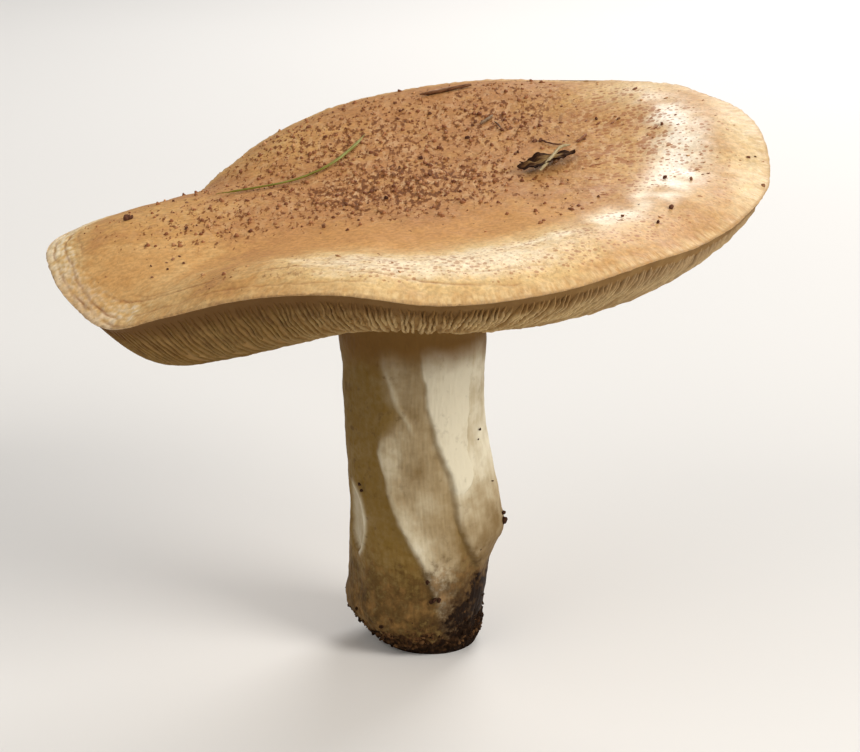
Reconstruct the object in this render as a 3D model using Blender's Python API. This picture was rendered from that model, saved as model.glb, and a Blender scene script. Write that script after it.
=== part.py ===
"""A large wild shiitake mushroom, picked whole, standing on the cut foot of its stem.

The cap, its gills and the stem grew as one piece, so they are one closed solid. It is laced
together from rings of points: out over the cap, round its rim, back under it along the gills
and down the stem. The bits of forest litter that lie on the cap are solids of their own.

Units are metres. The origin is the middle of the flat foot, +Z is up, and +X is to the right
of somebody who looks along +Y at the side where the gills show under the rim.
"""

import math

import bmesh
import bpy
import numpy as np
from mathutils import Vector, noise

# Cap: its axis, the height and tilt of the skin there, and the shape of its margin.
CAP_AXIS = (-0.0026, 0.0)
CAP_HEIGHT = 0.0712
CAP_TILT = (0.10, 0.125)  # rise per metre towards +X and towards +Y
BOWL_POWER = 2.6  # how late the skin rises on its way out to the shoulder
SHOULDER = 0.76  # where the margin starts to roll down, as a share of the reach
ROLL_POWER = 2.0
LIP = 0.0011  # thickness of the bare edge outside the gills
LIP_SHARE = 0.985  # inner edge of the lip, as a share of the reach

# Rim stations: azimuth in degrees, reach from the cap's axis, height above the table, how far
# the margin rolls down from the shoulder, and how far the gills bulge down half way in.
RIM = (
    (0, 0.0529, 0.0732, 0.0030, 0.0),
    (15, 0.0542, 0.0792, 0.0027, 0.0),
    (35, 0.0524, 0.0818, 0.0025, 0.0),
    (60, 0.0504, 0.0808, 0.0025, 0.0),
    (85, 0.0500, 0.0790, 0.0025, 0.0),
    (105, 0.0479, 0.0762, 0.0023, 0.0),
    (122, 0.0450, 0.0724, 0.0019, 0.0),
    (136, 0.0425, 0.0686, 0.0015, 0.0004),
    (147, 0.0417, 0.0658, 0.0014, 0.0012),
    (158, 0.0455, 0.0649, 0.0016, 0.0022),
    (168, 0.0510, 0.0641, 0.0019, 0.0032),
    (178, 0.0544, 0.0632, 0.0025, 0.0043),
    (190, 0.0535, 0.0615, 0.0028, 0.0053),
    (203, 0.0520, 0.0594, 0.0030, 0.0058),
    (214, 0.0507, 0.0579, 0.0034, 0.0054),
    (225, 0.0480, 0.0614, 0.0040, 0.0044),
    (240, 0.0458, 0.0657, 0.0042, 0.0020),
    (257, 0.0459, 0.0677, 0.0042, 0.0002),
    (275, 0.0462, 0.0669, 0.0044, 0.0),
    (295, 0.0460, 0.0668, 0.0044, 0.0),
    (315, 0.0458, 0.0679, 0.0040, 0.0),
    (332, 0.0468, 0.0692, 0.0036, 0.0),
    (347, 0.0497, 0.0714, 0.0032, 0.0),
)
AZIMUTH, REACH, HEIGHT, ROLL, BULGE = range(5)

# Underside: where it meets the stem, and how it curves up from there to the rim.
APEX_HEIGHT = 0.0560
APEX_LEAN = -0.0012  # the +X side of the apex is this much higher than its middle
APEX_FILLET = 0.0040
APEX_RADIUS = 0.0112
UNDER_POWER = 1.5
UNDER_ROUND = 0.40  # share of the rise that is a round, bowl-like curve
BULGE_OUT = 1.6  # above 1 the bulge of the gills sits nearer the rim than the stem
WAY_STEP = 0.01  # over which the slope of the underside is read

# Gills: sharp ribs raised from the underside, every second one short.
GILLS = 112
GILL_DEPTH = 0.0014
GILL_START = (0.99, 0.93)  # they rise from the lip over this share of the way out
SHORT_GILL_END = (0.42, 0.60)
GILL_FOOT = 0.45  # share of their depth that is left where they meet the stem
GILL_FOOT_END = 0.30  # way out from the stem where they have their whole depth

# Stem, from the apex down: height, radius, sideways shift of its middle line.
STEM = (
    (0.0510, APEX_RADIUS, -0.0026),
    (0.0440, 0.0110, -0.0028),
    (0.0360, 0.0109, -0.0029),
    (0.0290, 0.0109, -0.0026),
    (0.0225, 0.0109, -0.0022),
    (0.0160, 0.0109, -0.0019),
    (0.0100, 0.0108, -0.0020),
    (0.0055, 0.0105, -0.0022),
    (0.0022, 0.0090, -0.0008),
    (0.0000, 0.0072, 0.0000),
)
# Knee: one side of the stem swells on its way down, then steps in: height and rise.
KNEE = (
    (0.0000, 0.0),
    (0.0100, 0.0),
    (0.0130, 0.0002),
    (0.0160, 0.0010),
    (0.0198, 0.0027),
    (0.0225, 0.0024),
    (0.0290, 0.0014),
    (0.0400, 0.0003),
    (0.0510, 0.0),
)
KNEE_AZIMUTH = 346.0
KNEE_WIDTH = 40.0
# Ridges and hollows of the stem: azimuth at the apex, half-width in degrees, height.
FLUTES = (
    (232, 12, 0.0008),
    (252, 16, -0.0010),
    (272, 11, 0.0009),
    (40, 26, -0.0008),
    (95, 20, 0.0007),
    (150, 24, -0.0009),
    (200, 22, -0.0005),
)
FLUTE_TWIST = 1200.0  # degrees that they turn per metre down the stem
FLUTE_FADE = 0.008  # they die out over this height at the foot
FOOT_LUMP = 0.0006  # clods of soil on the foot
FOOT_LUMP_SIZE = 0.0035
FOOT_LUMP_TOP = (0.004, 0.013)  # they fade out between these heights
FOOT_LUMP_BOTTOM = (0.0, 0.003)  # and are kept off the flat cut

# Scales: low bumps over the middle of the skin.
SCALE_RELIEF = 0.00025
SCALE_PITCH = 0.0014
SCALE_EDGE = (0.62, 0.84)  # they fade out between these shares of the reach

# Litter on the cap: plan outlines and routes, and the gap that keeps them off the skin.
LITTER_GAP = 0.0006
GRASS_ROUTE = (
    (-0.0327, 0.0084),
    (-0.0277, 0.0092),
    (-0.0215, 0.0110),
    (-0.0162, 0.0145),
    (-0.0126, 0.0205),
    (-0.0103, 0.0264),
)
GRASS_RADIUS = 0.00036
GRASS_TIPS = (0.90, 0.35)  # thickness left at its two ends, as a share
GRASS_POINTS = 24
TAPER_POWER = 4
FLAKE_CENTRE = (0.0176, 0.0052)
FLAKE_HEADING = 24.0
FLAKE_OUTLINE = (
    (-0.0042, -0.0004),
    (-0.0030, -0.0017),
    (0.0000, -0.0021),
    (0.0028, -0.0016),
    (0.0042, 0.0004),
    (0.0036, 0.0022),
    (0.0012, 0.0014),
    (-0.0016, 0.0012),
    (-0.0034, 0.0009),
)
FLAKE_THICKNESS = 0.0008
NEEDLE_CENTRE = (0.0026, 0.0415)
NEEDLE_HEADING = 15.0
NEEDLE_OUTLINE = (
    (-0.0036, -0.0004),
    (0.0000, -0.0006),
    (0.0036, -0.0004),
    (0.0039, 0.0002),
    (0.0000, 0.0005),
    (-0.0038, 0.0004),
)
NEEDLE_THICKNESS = 0.0007
PLATE_CROWN = 1.15  # middle thickness of a scrap over its edge thickness
PLATE_INSET = 0.12  # how far its upper outline draws in, as a share
STRAW_ROUTE = ((0.0169, 0.0004), (0.0178, 0.0030), (0.0189, 0.0060), (0.0194, 0.0084))
STRAW_RADIUS = 0.00033
STRAW_TIPS = (0.50, 0.50)
STRAW_POINTS = 8

COLOURS = {  # base colour and roughness
    "cap_skin": ((0.56, 0.33, 0.14), 0.55),
    "gills": ((0.62, 0.50, 0.30), 0.75),
    "stem_skin": ((0.66, 0.56, 0.40), 0.70),
    "grass": ((0.30, 0.33, 0.08), 0.45),
    "bark": ((0.07, 0.035, 0.02), 0.85),
    "straw": ((0.55, 0.44, 0.28), 0.60),
}

# Rings of the mesh. Outside GILLS rings the counts halve towards the middle of the cap.
SKIN_PITCH = 0.0026
GILL_ROWS = (0.97, 0.92, 0.82, 0.70, 0.56, 0.42, 0.28, 0.13, 0.0)
STEM_SIDES = GILLS // 2
STEM_HEIGHTS = (
    *(0.0480, 0.0435, 0.0390, 0.0345, 0.0300, 0.0262, 0.0228, 0.0200),
    *(0.0168, 0.0135, 0.0105, 0.0080, 0.0055, 0.0025, 0.0000),
)
SHARP_ANGLE = 40.0


def fade(low, high, value):
    """0 below low, 1 above high, smooth between."""
    share = np.clip((value - low) / (high - low), 0.0, 1.0)
    return share * share * (3.0 - 2.0 * share)


def hermite(knots, values, at):
    """A smooth curve through values at rising knots, read at each number in at."""
    slopes = np.gradient(values, knots)
    i = np.clip(np.searchsorted(knots, at, side="right") - 1, 0, len(knots) - 2)
    span = knots[i + 1] - knots[i]
    s = (at - knots[i]) / span
    ends = values[i] * (2 * s**3 - 3 * s**2 + 1) + values[i + 1] * (3 * s**2 - 2 * s**3)
    return ends + span * (slopes[i] * (s**3 - 2 * s**2 + s) + slopes[i + 1] * (s**3 - s**2))


def rim(column, azimuths):
    """One column of the rim stations at each azimuth, carried round the whole turn."""
    turn = np.array([station[AZIMUTH] for station in RIM], float)
    knots = np.concatenate([turn - 360, turn, turn + 360])
    values = np.tile([station[column] for station in RIM], 3)
    return hermite(knots, values, np.mod(azimuths, 360.0))


def polar(azimuths, radii, heights, shift=0.0):
    """Points at these azimuths, radii and heights round the cap's axis, as rows of x, y, z."""
    angles = np.radians(azimuths)
    x = CAP_AXIS[0] + shift + radii * np.cos(angles)
    y = CAP_AXIS[1] + radii * np.sin(angles)
    return np.stack([x, y, np.broadcast_to(heights, x.shape)], axis=-1)


def spread(count):
    return np.arange(count) * 360.0 / count


def skin_height(azimuths, share):
    """Height of the cap's skin at a share of the way from the axis to the rim."""
    reach, edge, roll = (rim(column, azimuths) for column in (REACH, HEIGHT, ROLL))
    angles = np.radians(azimuths)
    slope = CAP_TILT[0] * np.cos(angles) + CAP_TILT[1] * np.sin(angles)
    bowl = edge + roll - CAP_HEIGHT - slope * reach
    turned = np.clip((share - SHOULDER) / (1.0 - SHOULDER), 0.0, 1.0)
    return CAP_HEIGHT + slope * reach * share + bowl * share**BOWL_POWER - roll * turned**ROLL_POWER


def skin_at(x, y):
    """Height of the skin above a point of the plan."""
    dx, dy = x - CAP_AXIS[0], y - CAP_AXIS[1]
    azimuth = np.array(math.degrees(math.atan2(dy, dx)))
    return float(skin_height(azimuth, math.hypot(dx, dy) / rim(REACH, azimuth)))


def skin_ring(share, sides):
    """One ring of the skin, with points raised here and there as scales."""
    azimuths = spread(sides)
    points = polar(azimuths, share * rim(REACH, azimuths), skin_height(azimuths, share))
    relief = SCALE_RELIEF * (1.0 - fade(*SCALE_EDGE, share))
    for point in points:
        point[2] += relief * abs(noise.cell(Vector(point) / SCALE_PITCH))
    return points


def apex_height(azimuths):
    return APEX_HEIGHT + APEX_LEAN * np.cos(np.radians(azimuths))


def under_height(azimuths, way):
    """Height of the bare underside at a share of the way out from the stem to the lip."""
    low = apex_height(azimuths)
    rise = rim(HEIGHT, azimuths) - LIP - low
    curve = (1 - UNDER_ROUND) * way**UNDER_POWER + UNDER_ROUND * (1 - math.sqrt(1 - way**2))
    return low + rise * curve - rim(BULGE, azimuths) * math.sin(math.pi * way**BULGE_OUT) ** 2


def under_ring(way, azimuths):
    """Radius and height of the bare underside, and its outward direction in that plane."""
    inner = APEX_RADIUS + APEX_FILLET
    run = LIP_SHARE * rim(REACH, azimuths) - inner
    before, after = max(way - WAY_STEP, 0.0), min(way + WAY_STEP, 1.0)
    out = under_height(azimuths, after) - under_height(azimuths, before)
    up = -run * (after - before)
    length = np.hypot(out, up)
    return inner + run * way, under_height(azimuths, way), out / length, up / length


def gill_relief(way):
    """How far each point of a gill ring stands out: long gill, gap, short gill, gap."""
    outer = 1.0 - fade(GILL_START[1], GILL_START[0], way)
    inner = GILL_FOOT + (1.0 - GILL_FOOT) * fade(0.0, GILL_FOOT_END, way)
    long_gill = GILL_DEPTH * outer * inner
    short_gill = long_gill * fade(*SHORT_GILL_END, way)
    return np.tile([long_gill, 0.0, short_gill, 0.0], GILLS // 2)


def gill_ring(way):
    azimuths = spread(2 * GILLS)
    radii, heights, out, up = under_ring(way, azimuths)
    relief = gill_relief(way)
    return polar(azimuths, radii + relief * out, heights + relief * up)


def fillet_ring(turn):
    """The curve from the underside into the stem, turn degrees round; the gills end on it."""
    azimuths = spread(2 * GILLS)
    angle = math.radians(turn)
    relief = gill_relief(0.0) * math.cos(angle)
    radii = APEX_RADIUS + APEX_FILLET - (APEX_FILLET - relief) * math.sin(angle)
    heights = apex_height(azimuths) - APEX_FILLET + (APEX_FILLET - relief) * math.cos(angle)
    return polar(azimuths, radii, heights)


def swell(azimuths, centre, half_width):
    """1 at an azimuth, falling off smoothly to both sides of it."""
    apart = (azimuths - centre + 180.0) % 360.0 - 180.0
    return np.exp(-((apart / half_width) ** 2))


def stem_radius(azimuths, height):
    """Radius of the stem with its ridges and hollows, and the shift of its middle line."""
    heights, radii, shifts = (np.array(column) for column in zip(*reversed(STEM)))
    radius = np.full(len(azimuths), float(hermite(heights, radii, np.array(height))))
    turned = azimuths - FLUTE_TWIST * (APEX_HEIGHT - height)
    strength = fade(0.0, FLUTE_FADE, height) * (1.0 - fade(STEM[1][0], STEM[0][0], height))
    for azimuth, half_width, rise in FLUTES:
        radius += strength * rise * swell(turned, azimuth, half_width)
    knee = float(hermite(*(np.array(column) for column in zip(*KNEE)), np.array(height)))
    radius += knee * swell(azimuths, KNEE_AZIMUTH, KNEE_WIDTH)
    return radius, float(hermite(heights, shifts, np.array(height))) - CAP_AXIS[0]


def stem_ring(height):
    """One ring of the stem, lumpy with soil near the foot."""
    azimuths = spread(STEM_SIDES)
    radius, shift = stem_radius(azimuths, height)
    points = polar(azimuths, radius, height, shift)
    lump = FOOT_LUMP * (1.0 - fade(*FOOT_LUMP_TOP, height)) * fade(*FOOT_LUMP_BOTTOM, height)
    for point, azimuth in zip(points, np.radians(azimuths)):
        push = lump * noise.noise(Vector(point) / FOOT_LUMP_SIZE)
        point += (push * math.cos(azimuth), push * math.sin(azimuth), 0.0)
    return points


def new_object(name, mesh, colours):
    thing = bpy.data.objects.new(name, mesh)
    bpy.context.collection.objects.link(thing)
    for colour in colours:
        thing.data.materials.append(material(colour))
    return thing


def material(name):
    if name in bpy.data.materials:
        return bpy.data.materials[name]
    colour, roughness = COLOURS[name]
    made = bpy.data.materials.new(name)
    made.use_nodes = True
    made.diffuse_color = (*colour, 1.0)
    shader = made.node_tree.nodes["Principled BSDF"]
    shader.inputs["Base Color"].default_value = (*colour, 1.0)
    shader.inputs["Roughness"].default_value = roughness
    shader.inputs["Metallic"].default_value = 0.0
    return made


def lace(bm, upper, lower, slot):
    """Faces between two rings that follow each other, where one may have more points."""
    fine, coarse = (upper, lower) if len(upper) >= len(lower) else (lower, upper)
    ratio = len(fine) // len(coarse)
    for i in range(len(coarse)):
        a, b = coarse[i], coarse[(i + 1) % len(coarse)]
        edge = [fine[(i * ratio + k) % len(fine)] for k in range(ratio + 1)]
        middle = ratio // 2
        corners = [[a, edge[k], edge[k + 1]] for k in range(middle)]
        corners += [[b, edge[k], edge[k + 1]] for k in range(middle, ratio)]
        corners.append([a, edge[middle], b])
        for three in corners:
            if fine is upper:
                three.reverse()
            bm.faces.new(three).material_index = slot


def close(bm, ring, point, slot, first):
    """A fan of faces from a point to a ring, at the first or at the last end of the skin."""
    tip = bm.verts.new(point)
    for a, b in zip(ring, ring[1:] + ring[:1]):
        bm.faces.new((tip, a, b) if first else (tip, b, a)).material_index = slot


def build_mushroom():
    skin, gills, stem = range(3)
    rings = []
    middle_reach = float(np.mean(rim(REACH, spread(GILLS))))
    rows = round(middle_reach / SKIN_PITCH)
    for row in range(1, rows + 1):
        share = row / rows
        halvings = min(3, max(0, int(math.log2(1.0 / share))))
        rings.append((skin_ring(share, GILLS >> halvings), skin))
    lip = spread(2 * GILLS)
    lip_height = rim(HEIGHT, lip) - LIP
    rings.append((polar(lip, LIP_SHARE * rim(REACH, lip), lip_height), skin))
    rings += [(gill_ring(way), gills) for way in GILL_ROWS]
    rings += [(fillet_ring(turn), gills) for turn in (45, 90)]
    rings += [(stem_ring(height), stem) for height in STEM_HEIGHTS]

    bm = bmesh.new()
    laid = [([bm.verts.new(point) for point in points], slot) for points, slot in rings]
    crown = (*CAP_AXIS, CAP_HEIGHT)
    close(bm, laid[0][0], crown, skin, first=True)
    for (upper, _), (lower, slot) in zip(laid, laid[1:]):
        lace(bm, upper, lower, slot)
    close(bm, laid[-1][0], (0.0, 0.0, 0.0), stem, first=False)
    mesh = bpy.data.meshes.new("mushroom")
    bm.to_mesh(mesh)
    bm.free()
    mushroom = new_object("mushroom", mesh, ("cap_skin", "gills", "stem_skin"))
    mesh.shade_smooth()
    mesh.set_sharp_from_angle(angle=math.radians(SHARP_ANGLE))
    return mushroom


def along(route, count):
    """Points evenly read from a smooth curve through a plan route."""
    route = np.array(route)
    knots = np.concatenate([[0.0], np.cumsum(np.hypot(*np.diff(route, axis=0).T))])
    at = np.linspace(0.0, knots[-1], count)
    return np.stack([hermite(knots, route[:, 0], at), hermite(knots, route[:, 1], at)], axis=-1)


def build_stalk(name, route, radius, tips, count, lift, colour):
    """A thin stalk that lies along a plan route, lift above the skin, tapered to its tips."""
    curve = bpy.data.curves.new(name, "CURVE")
    curve.dimensions = "3D"
    curve.bevel_depth = radius
    curve.bevel_resolution = 1
    curve.use_fill_caps = True
    spline = curve.splines.new("POLY")
    spline.points.add(count - 1)
    for i, (x, y) in enumerate(along(route, count)):
        share = i / (count - 1)
        spline.points[i].co = (x, y, skin_at(x, y) + LITTER_GAP + radius + lift, 1.0)
        taper = (1.0 - tips[0]) * (1.0 - share) ** TAPER_POWER + (1.0 - tips[1]) * share**TAPER_POWER
        spline.points[i].radius = 1.0 - taper
    return new_object(name, curve, (colour,))


def build_plate(name, centre, heading, outline, thickness, colour):
    """A flat scrap that lies on the skin, its outline turned to a heading in degrees."""
    turn = math.radians(heading)
    bm = bmesh.new()
    lower, upper = [], []
    for across, along_it in outline:
        x = centre[0] + across * math.cos(turn) - along_it * math.sin(turn)
        y = centre[1] + across * math.sin(turn) + along_it * math.cos(turn)
        base = skin_at(x, y) + LITTER_GAP
        lower.append(bm.verts.new((x, y, base)))
        inset = Vector((x, y)).lerp(Vector(centre), PLATE_INSET)
        upper.append(bm.verts.new((*inset, base + thickness)))
    middle = skin_at(*centre) + LITTER_GAP
    close(bm, upper, (*centre, middle + PLATE_CROWN * thickness), 0, first=True)
    lace(bm, upper, lower, 0)
    close(bm, lower, (*centre, middle), 0, first=False)
    mesh = bpy.data.meshes.new(name)
    bm.to_mesh(mesh)
    bm.free()
    return new_object(name, mesh, (colour,))


def main():
    for thing in list(bpy.data.objects):
        bpy.data.objects.remove(thing)
    build_mushroom()
    build_stalk("grass_blade", GRASS_ROUTE, GRASS_RADIUS, GRASS_TIPS, GRASS_POINTS, 0.0, "grass")
    build_plate("bark_flake", FLAKE_CENTRE, FLAKE_HEADING, FLAKE_OUTLINE, FLAKE_THICKNESS, "bark")
    build_plate("needle", NEEDLE_CENTRE, NEEDLE_HEADING, NEEDLE_OUTLINE, NEEDLE_THICKNESS, "bark")
    over_flake = PLATE_CROWN * FLAKE_THICKNESS + LITTER_GAP
    build_stalk("straw", STRAW_ROUTE, STRAW_RADIUS, STRAW_TIPS, STRAW_POINTS, over_flake, "straw")


main()
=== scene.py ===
import math
from functools import reduce

import bmesh
import bpy
import numpy as np
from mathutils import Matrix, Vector, noise


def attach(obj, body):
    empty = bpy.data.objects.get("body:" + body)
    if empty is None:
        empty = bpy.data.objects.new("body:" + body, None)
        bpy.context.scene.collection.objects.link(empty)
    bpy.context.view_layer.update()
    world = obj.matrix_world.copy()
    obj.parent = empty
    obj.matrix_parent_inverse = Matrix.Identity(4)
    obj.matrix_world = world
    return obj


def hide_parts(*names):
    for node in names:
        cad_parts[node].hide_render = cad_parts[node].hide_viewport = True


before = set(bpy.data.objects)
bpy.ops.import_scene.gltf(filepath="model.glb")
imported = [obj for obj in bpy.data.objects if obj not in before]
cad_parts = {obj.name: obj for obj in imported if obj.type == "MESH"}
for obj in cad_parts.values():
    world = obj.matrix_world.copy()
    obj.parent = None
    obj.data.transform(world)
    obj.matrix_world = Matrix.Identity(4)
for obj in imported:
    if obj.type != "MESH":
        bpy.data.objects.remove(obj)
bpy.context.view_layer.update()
scene = bpy.context.scene
print("frame loaded:", ", ".join(sorted(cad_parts)))

# Camera, at the photograph's angle
cameraSettings = {
    "target": (0.0, 0.0, 0.0428),
    "distance": 0.340,
    "elevation": 17.0,
    "focalPixels": 2235.0,
    "photoWidth": 860,
    "sensor": 36.0,
    "clipStart": 0.01,
}


def placeCamera():
    s = cameraSettings
    data = bpy.data.cameras.new("camera")
    data.sensor_width = s["sensor"]
    data.lens = s["focalPixels"] * s["sensor"] / s["photoWidth"]
    data.clip_start = s["clipStart"]
    camera = bpy.data.objects.new("camera", data)
    tilt = math.radians(s["elevation"])
    back = Vector((0.0, -math.cos(tilt), math.sin(tilt)))
    camera.location = Vector(s["target"]) + back * s["distance"]
    camera.rotation_euler = (math.pi / 2 - tilt, 0.0, 0.0)
    scene.collection.objects.link(camera)
    scene.camera = camera


placeCamera()
print("camera placed")


# Helpers for numbers
def fade(low, high, value):  # 0 below low, 1 above high, smooth between
    share = np.clip((value - low) / (high - low), 0.0, 1.0)
    return share * share * (3.0 - 2.0 * share)


def window(low, high, soft, value):  # 1 between low and high, with edges this soft
    return fade(low - soft, low + soft, value) * (1.0 - fade(high - soft, high + soft, value))


def hermite(knots, values, at):  # smooth curve through values at rising knots
    slopes = np.gradient(values, knots)
    i = np.clip(np.searchsorted(knots, at, side="right") - 1, 0, len(knots) - 2)
    span = knots[i + 1] - knots[i]
    s = (at - knots[i]) / span
    ends = values[i] * (2 * s**3 - 3 * s**2 + 1) + values[i + 1] * (3 * s**2 - 2 * s**3)
    return ends + span * (slopes[i] * (s**3 - 2 * s**2 + s) + slopes[i + 1] * (s**3 - s**2))


def bumpy(points, size, shift=0.0):  # smooth noise from -1 to 1 at each point
    flat = points.reshape(-1, 3) / size + shift
    return np.array([noise.noise(p) for p in flat]).reshape(points.shape[:-1])


def lumpy(points, lumps):  # relief from lumps of several sizes, each with its height
    return sum(height * bumpy(points, size) for size, height in lumps)


def bumpyRound(azimuths, across, along, shift):  # smooth noise round the axis, drawn out along a radius
    angles = np.radians(azimuths)
    parts = np.broadcast_arrays(np.cos(angles) * across, np.sin(angles) * across, along)
    return bumpy(np.stack(parts, axis=-1), 1.0, shift)


def facing(azimuths, centre):  # signed degrees from an azimuth
    return np.mod(azimuths - centre + 180.0, 360.0) - 180.0


def swell(azimuths, centre, halfWidth):  # 1 at an azimuth, falling off smoothly to both sides of it
    return np.exp(-((facing(azimuths, centre) / halfWidth) ** 2))


def blob(x, y, middle, size):  # 1 at a point of the plan, falling off smoothly round it
    return np.exp(-(((x - middle[0]) / size[0]) ** 2) - ((y - middle[1]) / size[1]) ** 2)


def strongest(*values):  # the highest of several values at each point
    return reduce(np.maximum, values)


# Helpers for meshes
def unit(vectors):
    return vectors / np.maximum(np.linalg.norm(vectors, axis=-1, keepdims=True), 1e-12)


def gridNormals(rows):  # outward normals of rows of points that close round the axis
    around = np.roll(rows, -1, axis=1) - np.roll(rows, 1, axis=1)
    return unit(np.cross(np.gradient(rows, axis=0), around))


def addObject(name, mesh, *materials):
    thing = bpy.data.objects.new(name, mesh)
    scene.collection.objects.link(thing)
    for material in materials:
        mesh.materials.append(material)
    return thing


def addAttribute(mesh, name, values):
    flat = np.asarray(values, np.float32)
    kind, field = ("FLOAT_VECTOR", "vector") if flat.ndim == 2 else ("FLOAT", "value")
    mesh.attributes.new(name, kind, "POINT").data.foreach_set(field, flat.ravel())


def turnedMesh(name, rows, firstPole, lastPole, attributes):  # closed skin over rows round an axis
    count, sides = rows.shape[:2]
    points = np.concatenate([[firstPole], rows.reshape(-1, 3), [lastPole]])
    index = 1 + np.arange(count * sides).reshape(count, sides)
    following = np.roll(index, -1, axis=1)
    quads = np.stack([index[:-1], index[1:], following[1:], following[:-1]], axis=-1)
    last = len(points) - 1
    faces = [(0, a, b) for a, b in zip(index[0].tolist(), following[0].tolist())]
    faces += quads.reshape(-1, 4).tolist()
    faces += [(last, b, a) for a, b in zip(index[-1].tolist(), following[-1].tolist())]
    mesh = bpy.data.meshes.new(name)
    mesh.from_pydata(points.tolist(), [], faces)
    for label, values in attributes.items():
        first, final = values[:1].mean(axis=1), values[-1:].mean(axis=1)
        addAttribute(mesh, label, np.concatenate([first, values.reshape(-1, *values.shape[2:]), final]))
    mesh.shade_smooth()
    return mesh


# Helpers for node trees
class Wire:  # one output of a node: sums and products of wires become Math nodes
    def __init__(self, tree, socket):
        self.tree, self.socket = tree, socket

    def then(self, kind, inputs=None, **settings):  # the next node, with this wire as its first input
        return addNode(self.tree, kind, {0: self} | (inputs or {}), **settings)[0]

    def calc(self, operation, *others):
        return self.then("ShaderNodeMath", dict(enumerate(others, 1)), operation=operation)

    def __add__(self, other):
        return self.calc("ADD", other)

    def __mul__(self, other):
        return self.calc("MULTIPLY", other)

    def __sub__(self, other):
        return self.calc("SUBTRACT", other)

    def __rsub__(self, other):
        return addNode(self.tree, "ShaderNodeMath", {0: other, 1: self}, operation="SUBTRACT")[0]

    def __truediv__(self, other):
        return self.calc("DIVIDE", other)

    def __pow__(self, other):
        return self.calc("POWER", other)

    __radd__, __rmul__ = __add__, __mul__

    def vector(self, operation, other):
        key = 3 if operation == "SCALE" else 1
        return self.then("ShaderNodeVectorMath", {key: other}, operation=operation)

    def remap(self, low, high, toLow=0.0, toHigh=1.0, kind="LINEAR"):
        inputs = {1: low, 2: high, 3: toLow, 4: toHigh}
        return self.then("ShaderNodeMapRange", inputs, interpolation_type=kind)

    def rise(self, low, high, toLow=0.0, toHigh=1.0):  # a remap with soft ends
        return self.remap(low, high, toLow, toHigh, "SMOOTHSTEP")

    def cloud(self, scale, detail=2.0, rough=0.5):  # noise at these places
        inputs = {"Vector": self, "Scale": scale, "Detail": detail, "Roughness": rough}
        return addNode(self.tree, "ShaderNodeTexNoise", inputs)[0]

    def ramp(self, *stops):
        wire = self.then("ShaderNodeValToRGB")
        elements = wire.socket.node.color_ramp.elements
        for place, colour in stops[1:-1]:
            elements.new(place)
        for element, (place, colour) in zip(elements, stops):
            element.position, element.color = place, (*colour, 1.0)
        return wire

    def mix(self, factor, over, blend="MIX"):  # this colour with another one over it
        over = (*over, 1.0) if isinstance(over, tuple) else over
        inputs = {0: factor, 6: self, 7: over}
        return addNode(self.tree, "ShaderNodeMix", inputs, data_type="RGBA", blend_type=blend)[2]

    def bump(self, strength, distance):
        inputs = {"Strength": strength, "Distance": distance, "Height": self}
        return addNode(self.tree, "ShaderNodeBump", inputs)[0]


def addNode(tree, kind, inputs=None, **settings):  # gives the new node's outputs, by number and by name
    made = tree.nodes.new(kind)
    for name, value in settings.items():
        setattr(made, name, value)
    for key, value in (inputs or {}).items():
        if isinstance(value, Wire):
            tree.links.new(value.socket, made.inputs[key])
        else:
            made.inputs[key].default_value = value
    wires = [Wire(tree, socket) for socket in made.outputs]
    return dict(enumerate(wires)) | {wire.socket.name: wire for wire in wires}


def joined(tree, *parts):  # a vector from its parts
    return addNode(tree, "ShaderNodeCombineXYZ", dict(enumerate(parts)))[0]


def partOf(vector, axis):
    return addNode(vector.tree, "ShaderNodeSeparateXYZ", {0: vector})[axis]


def attributeOf(tree, name, output="Fac"):
    return addNode(tree, "ShaderNodeAttribute", attribute_name=name)[output]


def newMaterial(name, roughness, specular):
    material = bpy.data.materials.new(name)
    material.use_nodes = True
    tree = material.node_tree
    shader = tree.nodes["Principled BSDF"]
    shader.inputs["Roughness"].default_value = roughness
    shader.inputs["Specular IOR Level"].default_value = specular
    return material, tree, addNode(tree, "ShaderNodeTexCoord")["Object"]


def plug(material, wires):
    tree = material.node_tree
    for label, wire in wires.items():
        tree.links.new(wire.socket, tree.nodes["Principled BSDF"].inputs[label])
    return material


# Helpers for Geometry Nodes
def newGeometryTree(name, sizes):  # a tree with named number inputs
    tree = bpy.data.node_groups.new(name, "GeometryNodeTree")
    for way in ("INPUT", "OUTPUT"):
        tree.interface.new_socket("Geometry", in_out=way, socket_type="NodeSocketGeometry")
    for label, value in sizes.items():
        kind = "NodeSocketInt" if isinstance(value, int) else "NodeSocketFloat"
        tree.interface.new_socket(label, in_out="INPUT", socket_type=kind)
    return tree, addNode(tree, "NodeGroupInput")


def endTree(geometry, material):
    real = geometry.then("GeometryNodeRealizeInstances")
    closed = real.then("GeometryNodeMergeByDistance", {2: 2e-6})
    painted = closed.then("GeometryNodeSetShadeSmooth").then("GeometryNodeSetMaterial", {2: material})
    addNode(geometry.tree, "NodeGroupOutput", {0: painted})
    return geometry.tree


def keep(geometry, name, value, domain="POINT"):  # stores a number for later nodes and for the material
    inputs = {2: name, 3: value}
    return geometry.then("GeometryNodeStoreNamedAttribute", inputs, data_type="FLOAT", domain=domain)


def kept(tree, name, kind="FLOAT"):
    return addNode(tree, "GeometryNodeInputNamedAttribute", {0: name}, data_type=kind)[0]


def randomOf(low, high, key, seed):
    inputs = {2: low, 3: high, 7: key, 8: seed}
    return addNode(key.tree, "FunctionNodeRandomValue", inputs, data_type="FLOAT")[1]


def positionOf(tree):
    return addNode(tree, "GeometryNodeInputPosition")[0]


def indexOf(tree):
    return addNode(tree, "GeometryNodeInputIndex")[0]


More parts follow.
